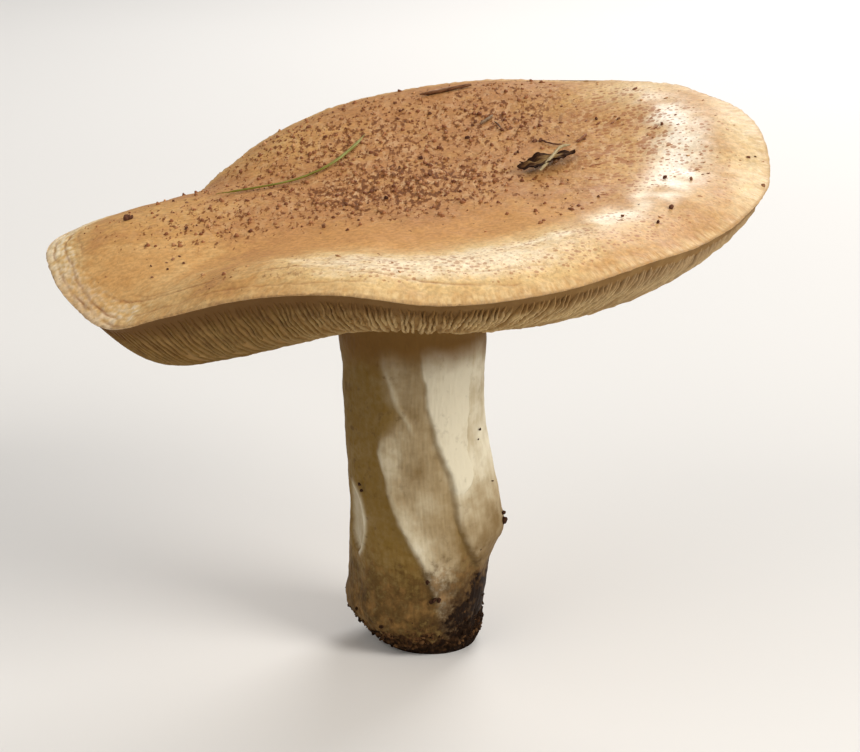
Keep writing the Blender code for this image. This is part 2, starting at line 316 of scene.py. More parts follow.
def jagged(geometry, scale, reach):  # pushes points about, so that no two copies look alike
    inputs = {"Vector": positionOf(geometry.tree), "Scale": scale, "Detail": 1.0}
    push = addNode(geometry.tree, "ShaderNodeTexNoise", inputs)[1].vector("SUBTRACT", (0.5, 0.5, 0.5))
    return geometry.then("GeometryNodeSetPosition", {3: push.vector("SCALE", reach)})


def grow(name, guide, tree, sizes):  # runs a tree on a guide object and leaves one plain mesh
    modifier = guide.modifiers.new(name, "NODES")
    modifier.node_group = tree
    for item in tree.interface.items_tree:
        if item.in_out == "INPUT" and item.name in sizes:
            modifier[item.identifier] = sizes[item.name]
    mesh = bpy.data.meshes.new_from_object(guide.evaluated_get(bpy.context.evaluated_depsgraph_get()))
    mesh.name = name
    bpy.data.objects.remove(guide)
    print(name, "grown:", len(mesh.polygons), "faces")
    return addObject(name, mesh)


def copyForGuide(thing):  # a tree runs on a copy, so that the piece itself keeps no modifier
    guide = bpy.data.objects.new("guide", thing.data.copy())
    scene.collection.objects.link(guide)
    return guide


# Cap: the same shape as the solid's, from the stations of its rim
capShape = {
    "axis": (-0.0026, 0.0),
    "height": 0.0712,
    "tilt": (0.10, 0.125),
    "bowlPower": 2.6,
    "shoulder": 0.76,
    "rollPower": 2.0,
    "lip": 0.0003,
    "lipShare": 0.993,
    "lipBead": 0.00012,
}
rimStations = (  # azimuth, reach, height, roll of the margin, bulge of the gills
    (0, 0.0529, 0.0732, 0.0030, 0.0),
    (15, 0.0542, 0.0792, 0.0027, 0.0),
    (35, 0.0524, 0.0818, 0.0025, 0.0),
    (60, 0.0504, 0.0808, 0.0025, 0.0),
    (85, 0.0500, 0.0790, 0.0025, 0.0),
    (105, 0.0479, 0.0762, 0.0023, 0.0),
    (122, 0.0450, 0.0724, 0.0019, 0.0),
    (136, 0.0425, 0.0686, 0.0015, 0.0004),
    (147, 0.0417, 0.0658, 0.0014, 0.0012),
    (158, 0.0455, 0.0649, 0.0016, 0.0022),
    (168, 0.0510, 0.0641, 0.0019, 0.0034),
    (178, 0.0544, 0.0632, 0.0025, 0.0048),
    (190, 0.0535, 0.0615, 0.0028, 0.0070),
    (203, 0.0520, 0.0594, 0.0030, 0.0072),
    (214, 0.0507, 0.0584, 0.0034, 0.0064),
    (225, 0.0480, 0.0615, 0.0040, 0.0056),
    (240, 0.0458, 0.0655, 0.0042, 0.0038),
    (257, 0.0459, 0.0676, 0.0042, 0.0010),
    (275, 0.0462, 0.0665, 0.0044, 0.0002),
    (295, 0.0460, 0.0672, 0.0042, 0.0002),
    (315, 0.0458, 0.0688, 0.0036, 0.0008),
    (332, 0.0468, 0.0691, 0.0036, 0.0006),
    (347, 0.0497, 0.0709, 0.0034, 0.0),
)
stationColumns = {"reach": 1, "height": 2, "roll": 3, "bulge": 4}


def rimAt(column, azimuths):
    turn = np.array([station[0] for station in rimStations], float)
    values = np.tile([station[stationColumns[column]] for station in rimStations], 3)
    return hermite(np.concatenate([turn - 360, turn, turn + 360]), values, np.mod(azimuths, 360.0))


def roundTheCap(azimuths, radii, heights):
    angles = np.radians(azimuths)
    x = capShape["axis"][0] + radii * np.cos(angles)
    y = capShape["axis"][1] + radii * np.sin(angles)
    return np.stack(np.broadcast_arrays(x, y, heights), axis=-1)


def skinHeight(azimuths, share):
    s = capShape
    reach, edge, roll = (rimAt(column, azimuths) for column in ("reach", "height", "roll"))
    angles = np.radians(azimuths)
    slope = s["tilt"][0] * np.cos(angles) + s["tilt"][1] * np.sin(angles)
    bowl = edge + roll - s["height"] - slope * reach
    turned = np.clip((share - s["shoulder"]) / (1.0 - s["shoulder"]), 0.0, 1.0)
    rise = slope * reach * share + bowl * share ** s["bowlPower"]
    return s["height"] + rise - roll * turned ** s["rollPower"]


def skinAt(x, y):  # height of the skin above a point of the plan
    dx, dy = x - capShape["axis"][0], y - capShape["axis"][1]
    azimuth = np.degrees(np.arctan2(dy, dx))
    return skinHeight(azimuth, np.hypot(dx, dy) / rimAt("reach", azimuth))


# Underside of the cap, which the gills hang from
underShape = {
    "apex": 0.0560,
    "apexLean": -0.0012,
    "hub": 0.0030,  # the flesh closes this far above the apex
    "fillet": 0.0040,
    "stemRadius": 0.0112,
    "power": 1.5,
    "round": 0.40,
    "bulgeOut": 1.8,
    "bulgeEnd": 1.3,
    "recess": 0.0002,  # the flesh between the gills lies this far behind the guide surface
    "recessFrom": 0.975,
}


def apexAt(azimuths):
    return underShape["apex"] + underShape["apexLean"] * np.cos(np.radians(azimuths))


def underHeight(azimuths, way):  # way goes from 0 at the stem to 1 at the lip
    s = underShape
    low = apexAt(azimuths)
    rise = rimAt("height", azimuths) - capShape["lip"] - low
    curve = (1 - s["round"]) * way ** s["power"] + s["round"] * (1 - np.sqrt(np.maximum(1 - way**2, 0)))
    bulging = np.sin(np.pi * way ** s["bulgeOut"]) ** s["bulgeEnd"]
    return low + rise * curve - rimAt("bulge", azimuths) * bulging


def underPoints(azimuths, way, recess):
    inner = underShape["stemRadius"] + underShape["fillet"]
    run = capShape["lipShare"] * rimAt("reach", azimuths) - inner
    before, after = np.maximum(way - 0.01, 0.0), np.minimum(way + 0.01, 1.0)
    out = underHeight(azimuths, after) - underHeight(azimuths, before)
    up = -run * (after - before)
    length = np.hypot(out, up)
    back = recess * (1.0 - fade(underShape["recessFrom"], 1.0, way))
    radii = inner + run * way - back * out / length
    return roundTheCap(azimuths, radii, underHeight(azimuths, way) - back * up / length)


def filletPoints(azimuths, turn):  # turn goes from 0 at the ceiling to 1 where the flare meets the stem
    angle = turn * math.pi / 2
    radii = underShape["stemRadius"] + underShape["fillet"] * (1.0 - math.sin(angle))
    return roundTheCap(azimuths, radii, apexAt(azimuths) - underShape["fillet"] * (1.0 - math.cos(angle)))


capDetail = {
    "sides": 640,
    "innerRows": 56,
    "outerRows": 50,
    "denseFrom": 0.80,  # rows lie closer together outside this share of the reach
    "lipRows": 6,
    "fleshRows": (9, 17),  # near the lip and further in
    "fleshDenseFrom": 0.88,
    "lumps": ((0.016, 0.00028), (0.0052, 0.00016), (0.0018, 0.00008)),  # size and height
    "ragged": 0.00016,
    "folds": (  # inset from the rim at both ends, first and last azimuth, depth, half width
        (0.0016, 0.0006, 168, 218, 0.00014, 0.00015),
        (0.0038, 0.0014, 170, 217, 0.00016, 0.00016),
        (0.0050, 0.0048, 176, 192, 0.00008, 0.00014),
        (0.0018, 0.0026, 216, 262, 0.00009, 0.00016),
        (0.0042, 0.0070, 208, 250, 0.00013, 0.00018),
        (0.0071, 0.0020, 247, 288, 0.00013, 0.00017),
        (0.0056, 0.0078, 212, 246, 0.00007, 0.00015),
        (0.0088, 0.0044, 248, 300, 0.00008, 0.00017),
        (0.0108, 0.0108, 232, 286, 0.00006, 0.00018),
    ),
    "foldEnds": 4,
    "fullFold": 0.00015,  # a fold this deep is painted at full strength
    "wander": ((6.0, 3.1, 0.0004, 7.0), (34.0, 2.3, 0.00030, 3.0)),  # how often, step, reach, shift
    "crinkle": 0.00008,
    "crinkled": ((166, 220, 5), (0.0004, 0.0046, 0.0007)),  # azimuths and inset, with soft ends
}


def skinRelief(points, azimuths, share):  # lumps and wrinkles, and how deep in a groove a point is
    d = capDetail
    inset = (1.0 - share) * rimAt("reach", azimuths)
    relief = lumpy(points, d["lumps"])
    grooves = np.zeros_like(relief)
    for order, (near, far, first, last, depth, halfWidth) in enumerate(d["folds"]):
        wander = 0.0
        for often, step, reach, shift in d["wander"]:
            wander = wander + reach * bumpyRound(azimuths, often, order * step, shift)
        strength = np.clip(0.75 + 0.9 * bumpyRound(azimuths, 9.0, order * 5.7, 1.0), 0.15, 1.0)
        line = near + (far - near) * np.clip((azimuths - first) / (last - first), 0.0, 1.0)
        across = (inset - line - wander) / halfWidth
        groove = strength * window(first, last, d["foldEnds"], azimuths) * np.exp(-(across**2))
        relief -= depth * groove
        grooves = np.maximum(grooves, groove * min(depth / d["fullFold"], 1.0))
    where, howFarIn = d["crinkled"]
    crinkle = bumpyRound(azimuths, 62.0, inset * 1900, 3.0)
    crinkle = crinkle * window(*where, azimuths) * window(*howFarIn, inset)
    return relief + d["crinkle"] * crinkle, grooves, crinkle


skinPatches = {  # strength, middle and size in the plan, in millimetres
    "pale": (
        (0.44, (40, 4), (17, 32)),
        (0.62, (35, 32), (13, 12)),
        (0.30, (-42, 2), (13, 11)),
        (0.24, (-24, 30), (12, 10)),
    ),
    "orange": ((1.0, (-43, -17), (11, 10)),),
    "flecked": (
        (1.25, (-6, 4), (19, 13)),
        (0.78, (-12, 24), (24, 20)),
        (0.74, (12, 28), (28, 18)),
        (0.55, (-30, -2), (15, 12)),
        (0.45, (14, 4), (14, 12)),
    ),
}
skinZones = {  # first and last azimuth, and how soft the two ends are
    "front": (238, 342, 24),
    "lobeRim": (164, 221, 8),
    # the arc of paler worn skin and painted sheen highlight, in front and on the right
    "wearAndSheenFront": (284, 342, 13),
    "wearAndSheenRight": (-24, 38, 10),
    "band": (212, 330, 18),
    "margin": (-70, 40, 15),
}


def patchOf(name, x, y):
    return strongest(*(strength * blob(x, y, middle, size) for strength, middle, size in skinPatches[name]))


def skinPaint(points, azimuths, share):  # how pale, orange, flecked and streaked the skin is, from 0 to 1
    x, y = points[..., 0] * 1e3, points[..., 1] * 1e3
    wobble, ripple = bumpy(points, 0.009, 20.0), bumpy(points, 0.0035, 40.0)
    turned = np.where(azimuths > 180, azimuths - 360, azimuths)
    zone = {name: window(*ends, azimuths) for name, ends in skinZones.items() if ends[0] > 0}
    zone |= {name: window(*ends, turned) for name, ends in skinZones.items() if ends[0] < 0}

    # the arc right of the dish: paler worn skin, with a painted sheen highlight along the shoulder
    ring = share + 0.035 * wobble + 0.02 * ripple - 0.0028 * np.maximum(turned - 4, 0)
    wearAndSheen = window(0.68, 0.79, 0.07, ring) * zone["wearAndSheenFront"]
    wearAndSheen = np.maximum(wearAndSheen, window(0.69, 0.81, 0.07, ring) * zone["wearAndSheenRight"])
    wearAndSheen = wearAndSheen * np.clip(0.98 + 1.3 * wobble + 1.1 * ripple, 0.25, 1.0)

    outward = fade(0.42, 0.78, share + 0.05 * wobble) * (1.0 - 0.40 * fade(0.82, 0.97, share))
    pale = strongest(
        patchOf("pale", x, y),
        (0.95 - 0.50 * fade(288, 322, azimuths)) * zone["front"] * outward,
        0.68 * fade(37, 48, x),
        0.46 * fade(-20, -38, x) * (1.0 - fade(-16, 2, y)),
        0.88 * zone["lobeRim"] * fade(0.82, 0.99, share + 0.04 * ripple),
        0.42 * fade(0.94, 1.0, share),
        # the worn arc: worn skin and a painted sheen highlight
        wearAndSheen,
    )
    orange = strongest(
        patchOf("orange", x, y),
        0.9 * (window(0.30, 0.60, 0.09, share + 0.05 * wobble) * zone["band"]),
        0.12 * (1.0 - wearAndSheen) * window(0.80, 0.93, 0.04, share) * zone["margin"],
    )

    # flecks end in a ragged line before the pale front, and become dashes on the right and in front
    flecked = patchOf("flecked", x, y) * fade(-3.5, 3.0, y + 11.5 + 3.0 * wobble + 0.10 * np.abs(x + 6))
    uneven = np.clip(0.95 + 1.1 * bumpyRound(azimuths, 9.0, share * 7.0, 13.0), 0.3, 1.1)
    flecked = strongest(
        flecked,
        1.12 * uneven * (1.0 - 0.30 * wearAndSheen) * blob(x, y, (30, 12), (15, 27)),
        0.64 * uneven * zone["front"] * window(0.66, 0.94, 0.06, share),
    )
    flecked = flecked * (1.0 - 0.7 * fade(0.92, 0.99, share))
    streaked = np.maximum(fade(14, 26, x), 0.85 * zone["front"] * fade(0.56, 0.64, share))
    scaled = flecked * (1.0 - 0.85 * zone["front"] * fade(0.55, 0.65, share)) * (1.0 - 0.6 * streaked)
    names = ("pale", "orange", "flecked", "streaked", "scaled", "wearAndSheen")
    return dict(zip(names, (pale, orange, flecked, streaked, scaled, wearAndSheen * fade(14, 30, x))))


skinColours = {
    "skin": (  # from the darkest to the palest
        (0.00, (0.430, 0.205, 0.078)),
        (0.30, (0.538, 0.296, 0.104)),
        (0.65, (0.700, 0.486, 0.222)),
        (1.00, (0.850, 0.705, 0.480)),
    ),
    "orange": (0.560, 0.285, 0.092),
    # the colour of the worn skin, which also serves as the painted sheen highlight
    "wearAndSheen": (0.905, 0.800, 0.630),
    # a cooler tint painted over the right side, offsetting the warm key light that falls from the right
    "rightTint": (0.960, 1.0, 1.12),
    "rimLines": ((0.40, (0.430, 0.230, 0.095)), (0.64, (0.800, 0.620, 0.360))),
    "spot": (0.720, 0.490, 0.270),
    "dash": (0.340, 0.132, 0.040),
    "speck": (0.250, 0.086, 0.018),
    "core": (0.105, 0.036, 0.013),
    "groove": (0.300, 0.120, 0.045),
    "fringe": (0.230, 0.105, 0.044),
}


def skinMaterial():
    material, tree, place = newMaterial("capSkin", 0.42, 0.10)
    c = skinColours
    names = ("pale", "orange", "flecked", "streaked", "wearAndSheen", "share", "groove")
    pale, orange, flecked, streaked, wearAndSheen, share, groove = (attributeOf(tree, name) for name in names)
    mottle, blotch = place.cloud(230.0, 3.0), place.cloud(620.0, 3.0, 0.6)
    fine = place.cloud(1500.0, 3.0, 0.6)
    across = partOf(place, 0)
    tone = pale + mottle.remap(0.25, 0.75, -0.14, 0.14) + blotch.remap(0.3, 0.7, -0.10, 0.10)
    # worn skin colour, which is also the painted sheen highlight along the shoulder
    base = tone.ramp(*c["skin"]).mix(orange * 0.70, c["orange"]).mix(wearAndSheen * 0.72, c["wearAndSheen"])
    # a cooler tint painted over the right side, offsetting the warm key light that falls from the right
    base = base.mix(across.remap(0.020, 0.044), c["rightTint"], "MULTIPLY")
    base = base.mix(1.0, fine.remap(0.36, 0.64, 0.84, 1.14), "MULTIPLY")

    lines = attributeOf(tree, "around", "Vector").vector("MULTIPLY", (80.0, 80.0, 22.0)).cloud(1.0, 3.0, 0.6)
    margin = share.rise(0.945, 0.99)
    base = base.mix(margin * across.remap(-0.030, 0.012, 0.10, 0.40), lines.ramp(*c["rimLines"]))

    squeezed = place.vector("MULTIPLY", (1.0, 0.38, 1.0))
    calm, shown = 1.0 - streaked, flecked.rise(0.03, 0.30)
    over = squeezed.cloud(1350.0, 3.0, 0.6) - flecked.remap(0.0, 1.0, 0.64, 0.478)
    speck = over.rise(-0.01, 0.04) * calm * shown
    core = over.rise(0.04, 0.10) * calm
    inputs = {"Vector": place, "Scale": 1060.0}
    cells = addNode(tree, "ShaderNodeTexVoronoi", inputs, voronoi_dimensions="2D")
    reach = flecked * 0.76 * cells["Color"]  # each cell holds one dash of its own size
    dash = (reach - cells["Distance"] + fine.remap(0.3, 0.7, -0.13, 0.13)).rise(-0.04, 0.10)
    dash = dash * streaked * shown
    spot = squeezed.cloud(1000.0, 2.0).rise(0.52, 0.61) * (flecked * 0.38)
    base = base.mix(spot, c["spot"]).mix(dash * 0.80, c["dash"])
    base = base.mix(speck * 0.84, c["speck"]).mix(core * 0.70, c["core"]).mix(groove * 0.85, c["groove"])
    fringe = share.rise(0.990, 1.0) * lines.remap(0.35, 0.6)
    base = base.mix(fringe * 0.55, c["fringe"])

    relief = speck * 0.8 + (lines * margin + fine * 0.5)
    return plug(material, {
        "Base Color": base,
        "Roughness": wearAndSheen * -0.08 + (speck * 0.15 + mottle.remap(0.3, 0.7, 0.40, 0.52)),
        "Specular IOR Level": wearAndSheen * 0.12 + pale.remap(0.2, 0.9, 0.04, 0.13),
        "Normal": relief.bump(0.6, 0.00018),
    })


fleshColours = {
    "flesh": ((0.3, (0.240, 0.130, 0.040)), (0.7, (0.350, 0.210, 0.076))),
    "edge": (0.120, 0.055, 0.016),
}


def fleshMaterial():
    material, tree, place = newMaterial("flesh", 0.8, 0.08)
    patches = place.cloud(400.0, 3.0)
    edge = attributeOf(tree, "share").rise(0.88, 0.97) * partOf(place, 0).remap(0.030, -0.020, 0.35, 0.85)
    base = patches.ramp(*fleshColours["flesh"]).mix(edge, fleshColours["edge"])
    return plug(material, {"Base Color": base, "Normal": patches.bump(0.4, 0.0003)})


def capRows(azimuths):  # rows from the crown over the rim to the ceiling, and each row's share outward
    d, s = capDetail, capShape
    inner = np.linspace(0.0, d["denseFrom"], d["innerRows"] + 1)[1:]
    outer = np.linspace(d["denseFrom"], 1.0, d["outerRows"] + 1)[1:]
    share = np.concatenate([inner, outer])[:, None]
    reach, edge = rimAt("reach", azimuths), rimAt("height", azimuths)
    skin = roundTheCap(azimuths, share * reach, skinHeight(azimuths, share))
    turn = np.linspace(0.0, 1.0, d["lipRows"] + 1)[1:, None]
    lipRadii = reach * (1.0 - (1.0 - s["lipShare"]) * turn) + s["lipBead"] * np.sin(np.pi * turn)
    lip = roundTheCap(azimuths, lipRadii, edge - s["lip"] * turn)
    stops = (1.0, d["fleshDenseFrom"], 0.0)
    way = [np.linspace(stops[i], stops[i + 1], d["fleshRows"][i] + 1)[1:] for i in range(2)]
    way = np.concatenate(way)[:, None]
    flesh = underPoints(azimuths, way, underShape["recess"])
    return [skin, lip, flesh], [share, turn, way]


def buildCap():
    azimuths = np.arange(capDetail["sides"]) * 360.0 / capDetail["sides"]
    (skin, lip, flesh), (share, turn, way) = capRows(azimuths)
    rows = np.concatenate([skin, lip, flesh])
    shares = np.concatenate([share, turn * 0 + 1, way]) * np.ones((1, len(azimuths)))
    top, rimEnd = len(skin), len(skin) + len(lip)

    relief, grooves, crinkle, rim = (np.zeros(rows.shape[:2]) for each in range(4))
    relief[:top], grooves[:top], crinkle[:top] = skinRelief(skin, azimuths, share)
    relief[top:] = relief[top - 1] * (1.0 - fade(0, 4, np.arange(len(rows) - top)))[:, None]
    rim[:top] = fade(0.95, 1.0, share)
    rim[top:rimEnd] = 1.0 - 0.7 * turn
    ragged = bumpyRound(azimuths, 55.0, 0.0, 2.0) + 0.6 * bumpyRound(azimuths, 140.0, 0.0, 9.0)
    rows = rows + gridNormals(rows) * (relief + capDetail["ragged"] * ragged * rim)[..., None]

    paint = skinPaint(rows, azimuths, shares)
    paint["flecked"][top:], paint["scaled"][top:] = 0.0, 0.0  # no scale stands below the rim
    paint["pale"] = paint["pale"] + 0.5 * crinkle
    angles = np.radians(azimuths)
    around = np.stack(np.broadcast_arrays(np.cos(angles), np.sin(angles), shares), axis=-1)
    paint |= {"groove": grooves, "share": shares, "around": around}
    crown = (*capShape["axis"], rows[0, :, 2].mean())
    hub = (*capShape["axis"], underShape["apex"] + underShape["hub"])
    mesh = turnedMesh("cap", rows, crown, hub, paint)
    isFlesh = np.arange(len(mesh.polygons)) >= capDetail["sides"] * rimEnd
    mesh.polygons.foreach_set("material_index", isFlesh.astype(np.int32))
    return addObject("cap", mesh, skinMaterial(), fleshMaterial())


cap = buildCap()
print("cap built")


# Scales: small raised flecks strewn over the skin, flat and drawn out where it is streaked
scaleSizes = {
    "Density": 6.0e5,  # a square metre, where the skin is fully flecked
    "Size": 0.00042,
    "Height": 0.00050,
    "Stretch": 2.6,
    "Seed": 5,
}
scaleDetail = {
    "corners": 6,
    "topShare": 0.40,
    "sunk": 0.00008,
    "jagged": (2600.0, 0.00030),
    "tints": (
        (0.0, (0.150, 0.052, 0.024)),
        (0.3, (0.270, 0.105, 0.045)),
        (0.7, (0.370, 0.165, 0.070)),
        (1.0, (0.500, 0.270, 0.125)),
    ),
}


def scaleTree(material):
    tree, given = newGeometryTree("skinScales", scaleSizes)
    d = scaleDetail
    inputs = {0: given["Geometry"], 4: kept(tree, "scaled") * given["Density"], 6: given["Seed"]}
    strewn = addNode(tree, "GeometryNodeDistributePointsOnFaces", inputs)
    normal, key, streaked = strewn["Normal"], indexOf(tree), kept(tree, "streaked")
    chances = [randomOf(0.0, 1.0, key, given["Seed"] + float(i)) for i in range(3)]
    points = keep(strewn["Points"], "tint", chances[0])
    growth = chances[1] ** 2.0 * 0.75 + 0.32
    drawn = (given["Stretch"] - 1.0) * (streaked * chances[2])
    wide = given["Size"] * growth
    tall = given["Height"] * (growth * (streaked * -0.70 + 1.0))
    size = joined(tree, wide * (drawn + 1.0), wide * (streaked * -0.35 + 1.0), tall)
    axes = {"primary_axis": "Z", "secondary_axis": "X"}
    turned = normal.then("FunctionNodeAxesToRotation", {1: kept(tree, "around", "FLOAT_VECTOR")}, **axes)
    leans = [(chances[i] - 0.5) * 0.9 for i in (2, 0)]
    lean = joined(tree, *leans, (1.0 - streaked) * (chances[1] * 6.0)).then("FunctionNodeEulerToRotation")
    turned = turned.then("FunctionNodeRotateRotation", {1: lean}, rotation_space="LOCAL")
    points = points.then("GeometryNodeSetPosition", {3: normal.vector("SCALE", -d["sunk"])})
    cone = addNode(tree, "GeometryNodeMeshCone", {0: d["corners"], 3: d["topShare"], 4: 1.0, 5: 1.0})[0]
    scales = points.then("GeometryNodeInstanceOnPoints", {2: cone, 5: turned, 6: size})
    return endTree(jagged(scales.then("GeometryNodeRealizeInstances"), *d["jagged"]), material)


def scaleMaterial():
    material, tree, place = newMaterial("scaleBrown", 0.6, 0.10)
    fine = place.cloud(2600.0, 2.0)
    base = attributeOf(tree, "tint").ramp(*scaleDetail["tints"])
    base = base.mix(1.0, fine.remap(0.3, 0.7, 0.75, 1.25), "MULTIPLY")
    return plug(material, {"Base Color": base, "Normal": fine.bump(0.4, 0.0001)})


scales = grow("scales", copyForGuide(cap), scaleTree(scaleMaterial()), scaleSizes)


# Gills: thin blades in three lengths, hung from a guide surface under the cap
gillSizes = {
    "Blades": 336,
    "Thickness": 0.00044,
    "Crest": 0.0009,  # how far a blade's edge stands below the guide surface
    "Root": 0.0014,  # how deep its root is sunk above it
    "Wave": 0.0010,
    "Seed": 11,
}
gillDetail = {
    "guideColumns": 480,
    "guideRows": 60,
    "down": -0.10,  # the longest blades start this far down the flare of the stem
    "section": 8,
    "steps": 27,
}
gillColours = {
    # from a blade's dark root to its pale edge: the pale edge is the blade's own colour, the darkening at the
    # root is painted shade between the blades
    "blade": ((0.30, (0.245, 0.130, 0.036)), (0.75, (0.375, 0.222, 0.078)), (1.00, (0.570, 0.395, 0.180))),
    "darkerLeft": (0.180, 0.095, 0.018),
    "palerRight": (0.530, 0.390, 0.228),
    "inner": (0.240, 0.120, 0.032),
    "browned": (0.130, 0.058, 0.016),
}


def gillGuide():
    d = gillDetail
    azimuths = np.arange(-6, d["guideColumns"] + 7) * 360.0 / d["guideColumns"]
    ways = np.linspace(d["down"], 1.0, d["guideRows"])
    flare = [filletPoints(azimuths, way / d["down"]) for way in ways if way <= 0]
    rows = np.array(flare + [underPoints(azimuths, way, 0.0) for way in ways if way > 0])
    across = unit(np.gradient(rows, axis=1))
    down = np.cross(np.gradient(rows, axis=0), across)
    down *= -np.sign(down[..., 2:]) / np.linalg.norm(down, axis=-1, keepdims=True)
    count, sides = rows.shape[:2]
    index = np.arange(count * sides).reshape(count, sides)
    quads = np.stack([index[:-1, :-1], index[1:, :-1], index[1:, 1:], index[:-1, 1:]], axis=-1)
    mesh = bpy.data.meshes.new("gillGuide")
    mesh.from_pydata(rows.reshape(-1, 3).tolist(), [], quads.reshape(-1, 4).tolist())
    flat = np.stack(np.broadcast_arrays(azimuths / 360.0, ways[:, None], 0.0), axis=-1)
    for label, values in (("across", across), ("down", down), ("flat", flat)):
        addAttribute(mesh, label, values.reshape(-1, 3))
    return addObject("gillGuide", mesh)


def gillStart(order, chance):  # how far out from the stem a blade starts: long, half or short
    tier = order.calc("MODULO", 4.0)
    start = chance * 0.20 + 0.60
    for chosen, other in (
        (tier.calc("COMPARE", 2.0, 0.1), chance * 0.20 + 0.28),
        (tier.calc("LESS_THAN", 0.5), chance * 0.05 + (gillDetail["down"] + 0.01)),
    ):
        start = chosen * (other - start) + start
    return start


def gillNoise(order, way, acrossScale, alongScale):
    return joined(order.tree, order * acrossScale, way * alongScale).cloud(1.0, 1.5)


def gillTree(material):
    tree, given = newGeometryTree("gillBlades", gillSizes)
    d = gillDetail
    blade = addNode(tree, "GeometryNodeMeshGrid", {0: 1.0, 1: 1.0, 2: d["section"], 3: d["steps"]})[0]
    for axis, name in enumerate(("section", "along")):
        blade = keep(blade, name, partOf(positionOf(tree), axis) + 0.5)
    points = addNode(tree, "GeometryNodeMeshLine", {0: given["Blades"]})[0].then("GeometryNodeMeshToPoints")
    copies = points.then("GeometryNodeInstanceOnPoints", {2: blade})
    blades = keep(copies, "order", indexOf(tree), "INSTANCE").then("GeometryNodeRealizeInstances")

    order, section, along = (kept(tree, name) for name in ("order", "section", "along"))
    seeds = [given["Seed"] + float(i) for i in range(3)]
    turn = (order + randomOf(0.25, 0.75, order, seeds[0])) / given["Blades"]
    start = gillStart(order, randomOf(0.0, 1.0, order, seeds[1]))
    way = along * (0.999 - start) + start
    angle = section * (2 * math.pi)
    depth = angle.calc("COSINE") * -0.5 + 0.5  # 0 at the root, 1 at the edge
    full = along.rise(0.0, 0.12) * way.remap(0.93, 0.999, 1.0, 0.0) ** 0.5

    uneven = randomOf(-0.00035, 0.00005, order, seeds[2])
    frayed = gillNoise(order, way, 3.7, 26.0).remap(0.25, 0.75, -0.00030, 0.00005)
    crest = (given["Crest"] + (uneven + frayed)) * way.remap(-0.10, 0.25, 0.55, 1.0)
    rightward = (turn * (2 * math.pi)).calc("COSINE")
    crest = crest * rightward.remap(-0.9, 0.4, 0.08, 0.9)
    drop = full * ((given["Root"] + crest) * depth - given["Root"])
    drop = (full - 1.0) * 0.0004 + drop
    thick = given["Thickness"] * (full * 0.5 + 0.12)
    wave = gillNoise(order, way, 0.37, 11.0) - 0.5
    bend = wave * (depth * (given["Wave"] * way.remap(0.5, 1.0, 0.6, 1.9)))
    lateral = angle.calc("SINE") * thick + bend

    sampled = []
    for value in (positionOf(tree), *(kept(tree, name, "FLOAT_VECTOR") for name in ("across", "down"))):
        inputs = {1: value, 2: kept(tree, "flat", "FLOAT_VECTOR"), 3: joined(tree, turn, way)}
        sample = given["Geometry"].then("GeometryNodeSampleUVSurface", inputs, data_type="FLOAT_VECTOR")
        sampled.append(sample)
    where = sampled[0].vector("ADD", sampled[1].vector("SCALE", lateral))
    where = where.vector("ADD", sampled[2].vector("SCALE", drop))
    blades = keep(keep(blades, "edge", depth * full), "way", way)
    return endTree(blades.then("GeometryNodeSetPosition", {2: where}), material)


def gillMaterial():
    material, tree, place = newMaterial("gillFlesh", 0.7, 0.08)
    c = gillColours
    edge, way, across = attributeOf(tree, "edge"), attributeOf(tree, "way"), partOf(place, 0)
    fibres = place.cloud(1400.0, 3.0)
    # darker towards each blade's root: painted shade between the blades
    base = (edge + place.cloud(130.0, 3.0).remap(0.3, 0.7, -0.22, 0.22)).ramp(*c["blade"])
    # darker towards the left side and paler towards the right
    base = base.mix(across.rise(0.016, -0.030, 0.0, 0.82), c["darkerLeft"])
    base = base.mix(across.rise(0.010, 0.038) * 0.60, c["palerRight"])
    base = base.mix(way.remap(0.20, -0.08) * 0.55, c["inner"])
    frayed = way + place.cloud(480.0, 3.0, 0.6).remap(0.36, 0.64, -0.07, 0.07)
    base = base.mix(frayed.remap(0.82, 0.98) * across.remap(0.030, -0.020, 0.25, 0.88), c["browned"])
    base = base.mix(1.0, fibres.remap(0.3, 0.7, 0.86, 1.10), "MULTIPLY")
    return plug(material, {"Base Color": base, "Normal": fibres.bump(0.3, 0.00012)})


gills = grow("gills", gillGuide(), gillTree(gillMaterial()), gillSizes)


# Stem: twisted ridges and hollows, a knee on the right and a torn flap on the left
stemShape = {
    "stations": (  # height, radius, shift of the middle line
        (0.0510, 0.0112, -0.0026),
        (0.0440, 0.0110, -0.0028),
        (0.0360, 0.0109, -0.0029),
        (0.0290, 0.0109, -0.0026),
        (0.0225, 0.0109, -0.0022),
        (0.0160, 0.0109, -0.0019),
        (0.0100, 0.0108, -0.0020),
        (0.0055, 0.0105, -0.0022),
        (0.0022, 0.0090, -0.0008),
        (0.0000, 0.0072, 0.0000),
    ),
    "knee": (  # height, rise
        (0.0000, 0.0),
        (0.0100, 0.0),
        (0.0130, 0.0002),
        (0.0160, 0.0010),
        (0.0198, 0.0027),
        (0.0225, 0.0024),
        (0.0290, 0.0014),
        (0.0400, 0.0003),
        (0.0510, 0.0),
    ),
    "kneeAzimuth": 346,
    "kneeWidth": 40,
    "flutes": ((40, 26, -0.0008), (95, 20, 0.0007), (150, 24, -0.0009), (200, 22, -0.0005)),  # as at the top
    "twist": 1200.0,  # degrees a metre
    "fluteFade": 0.008,
}
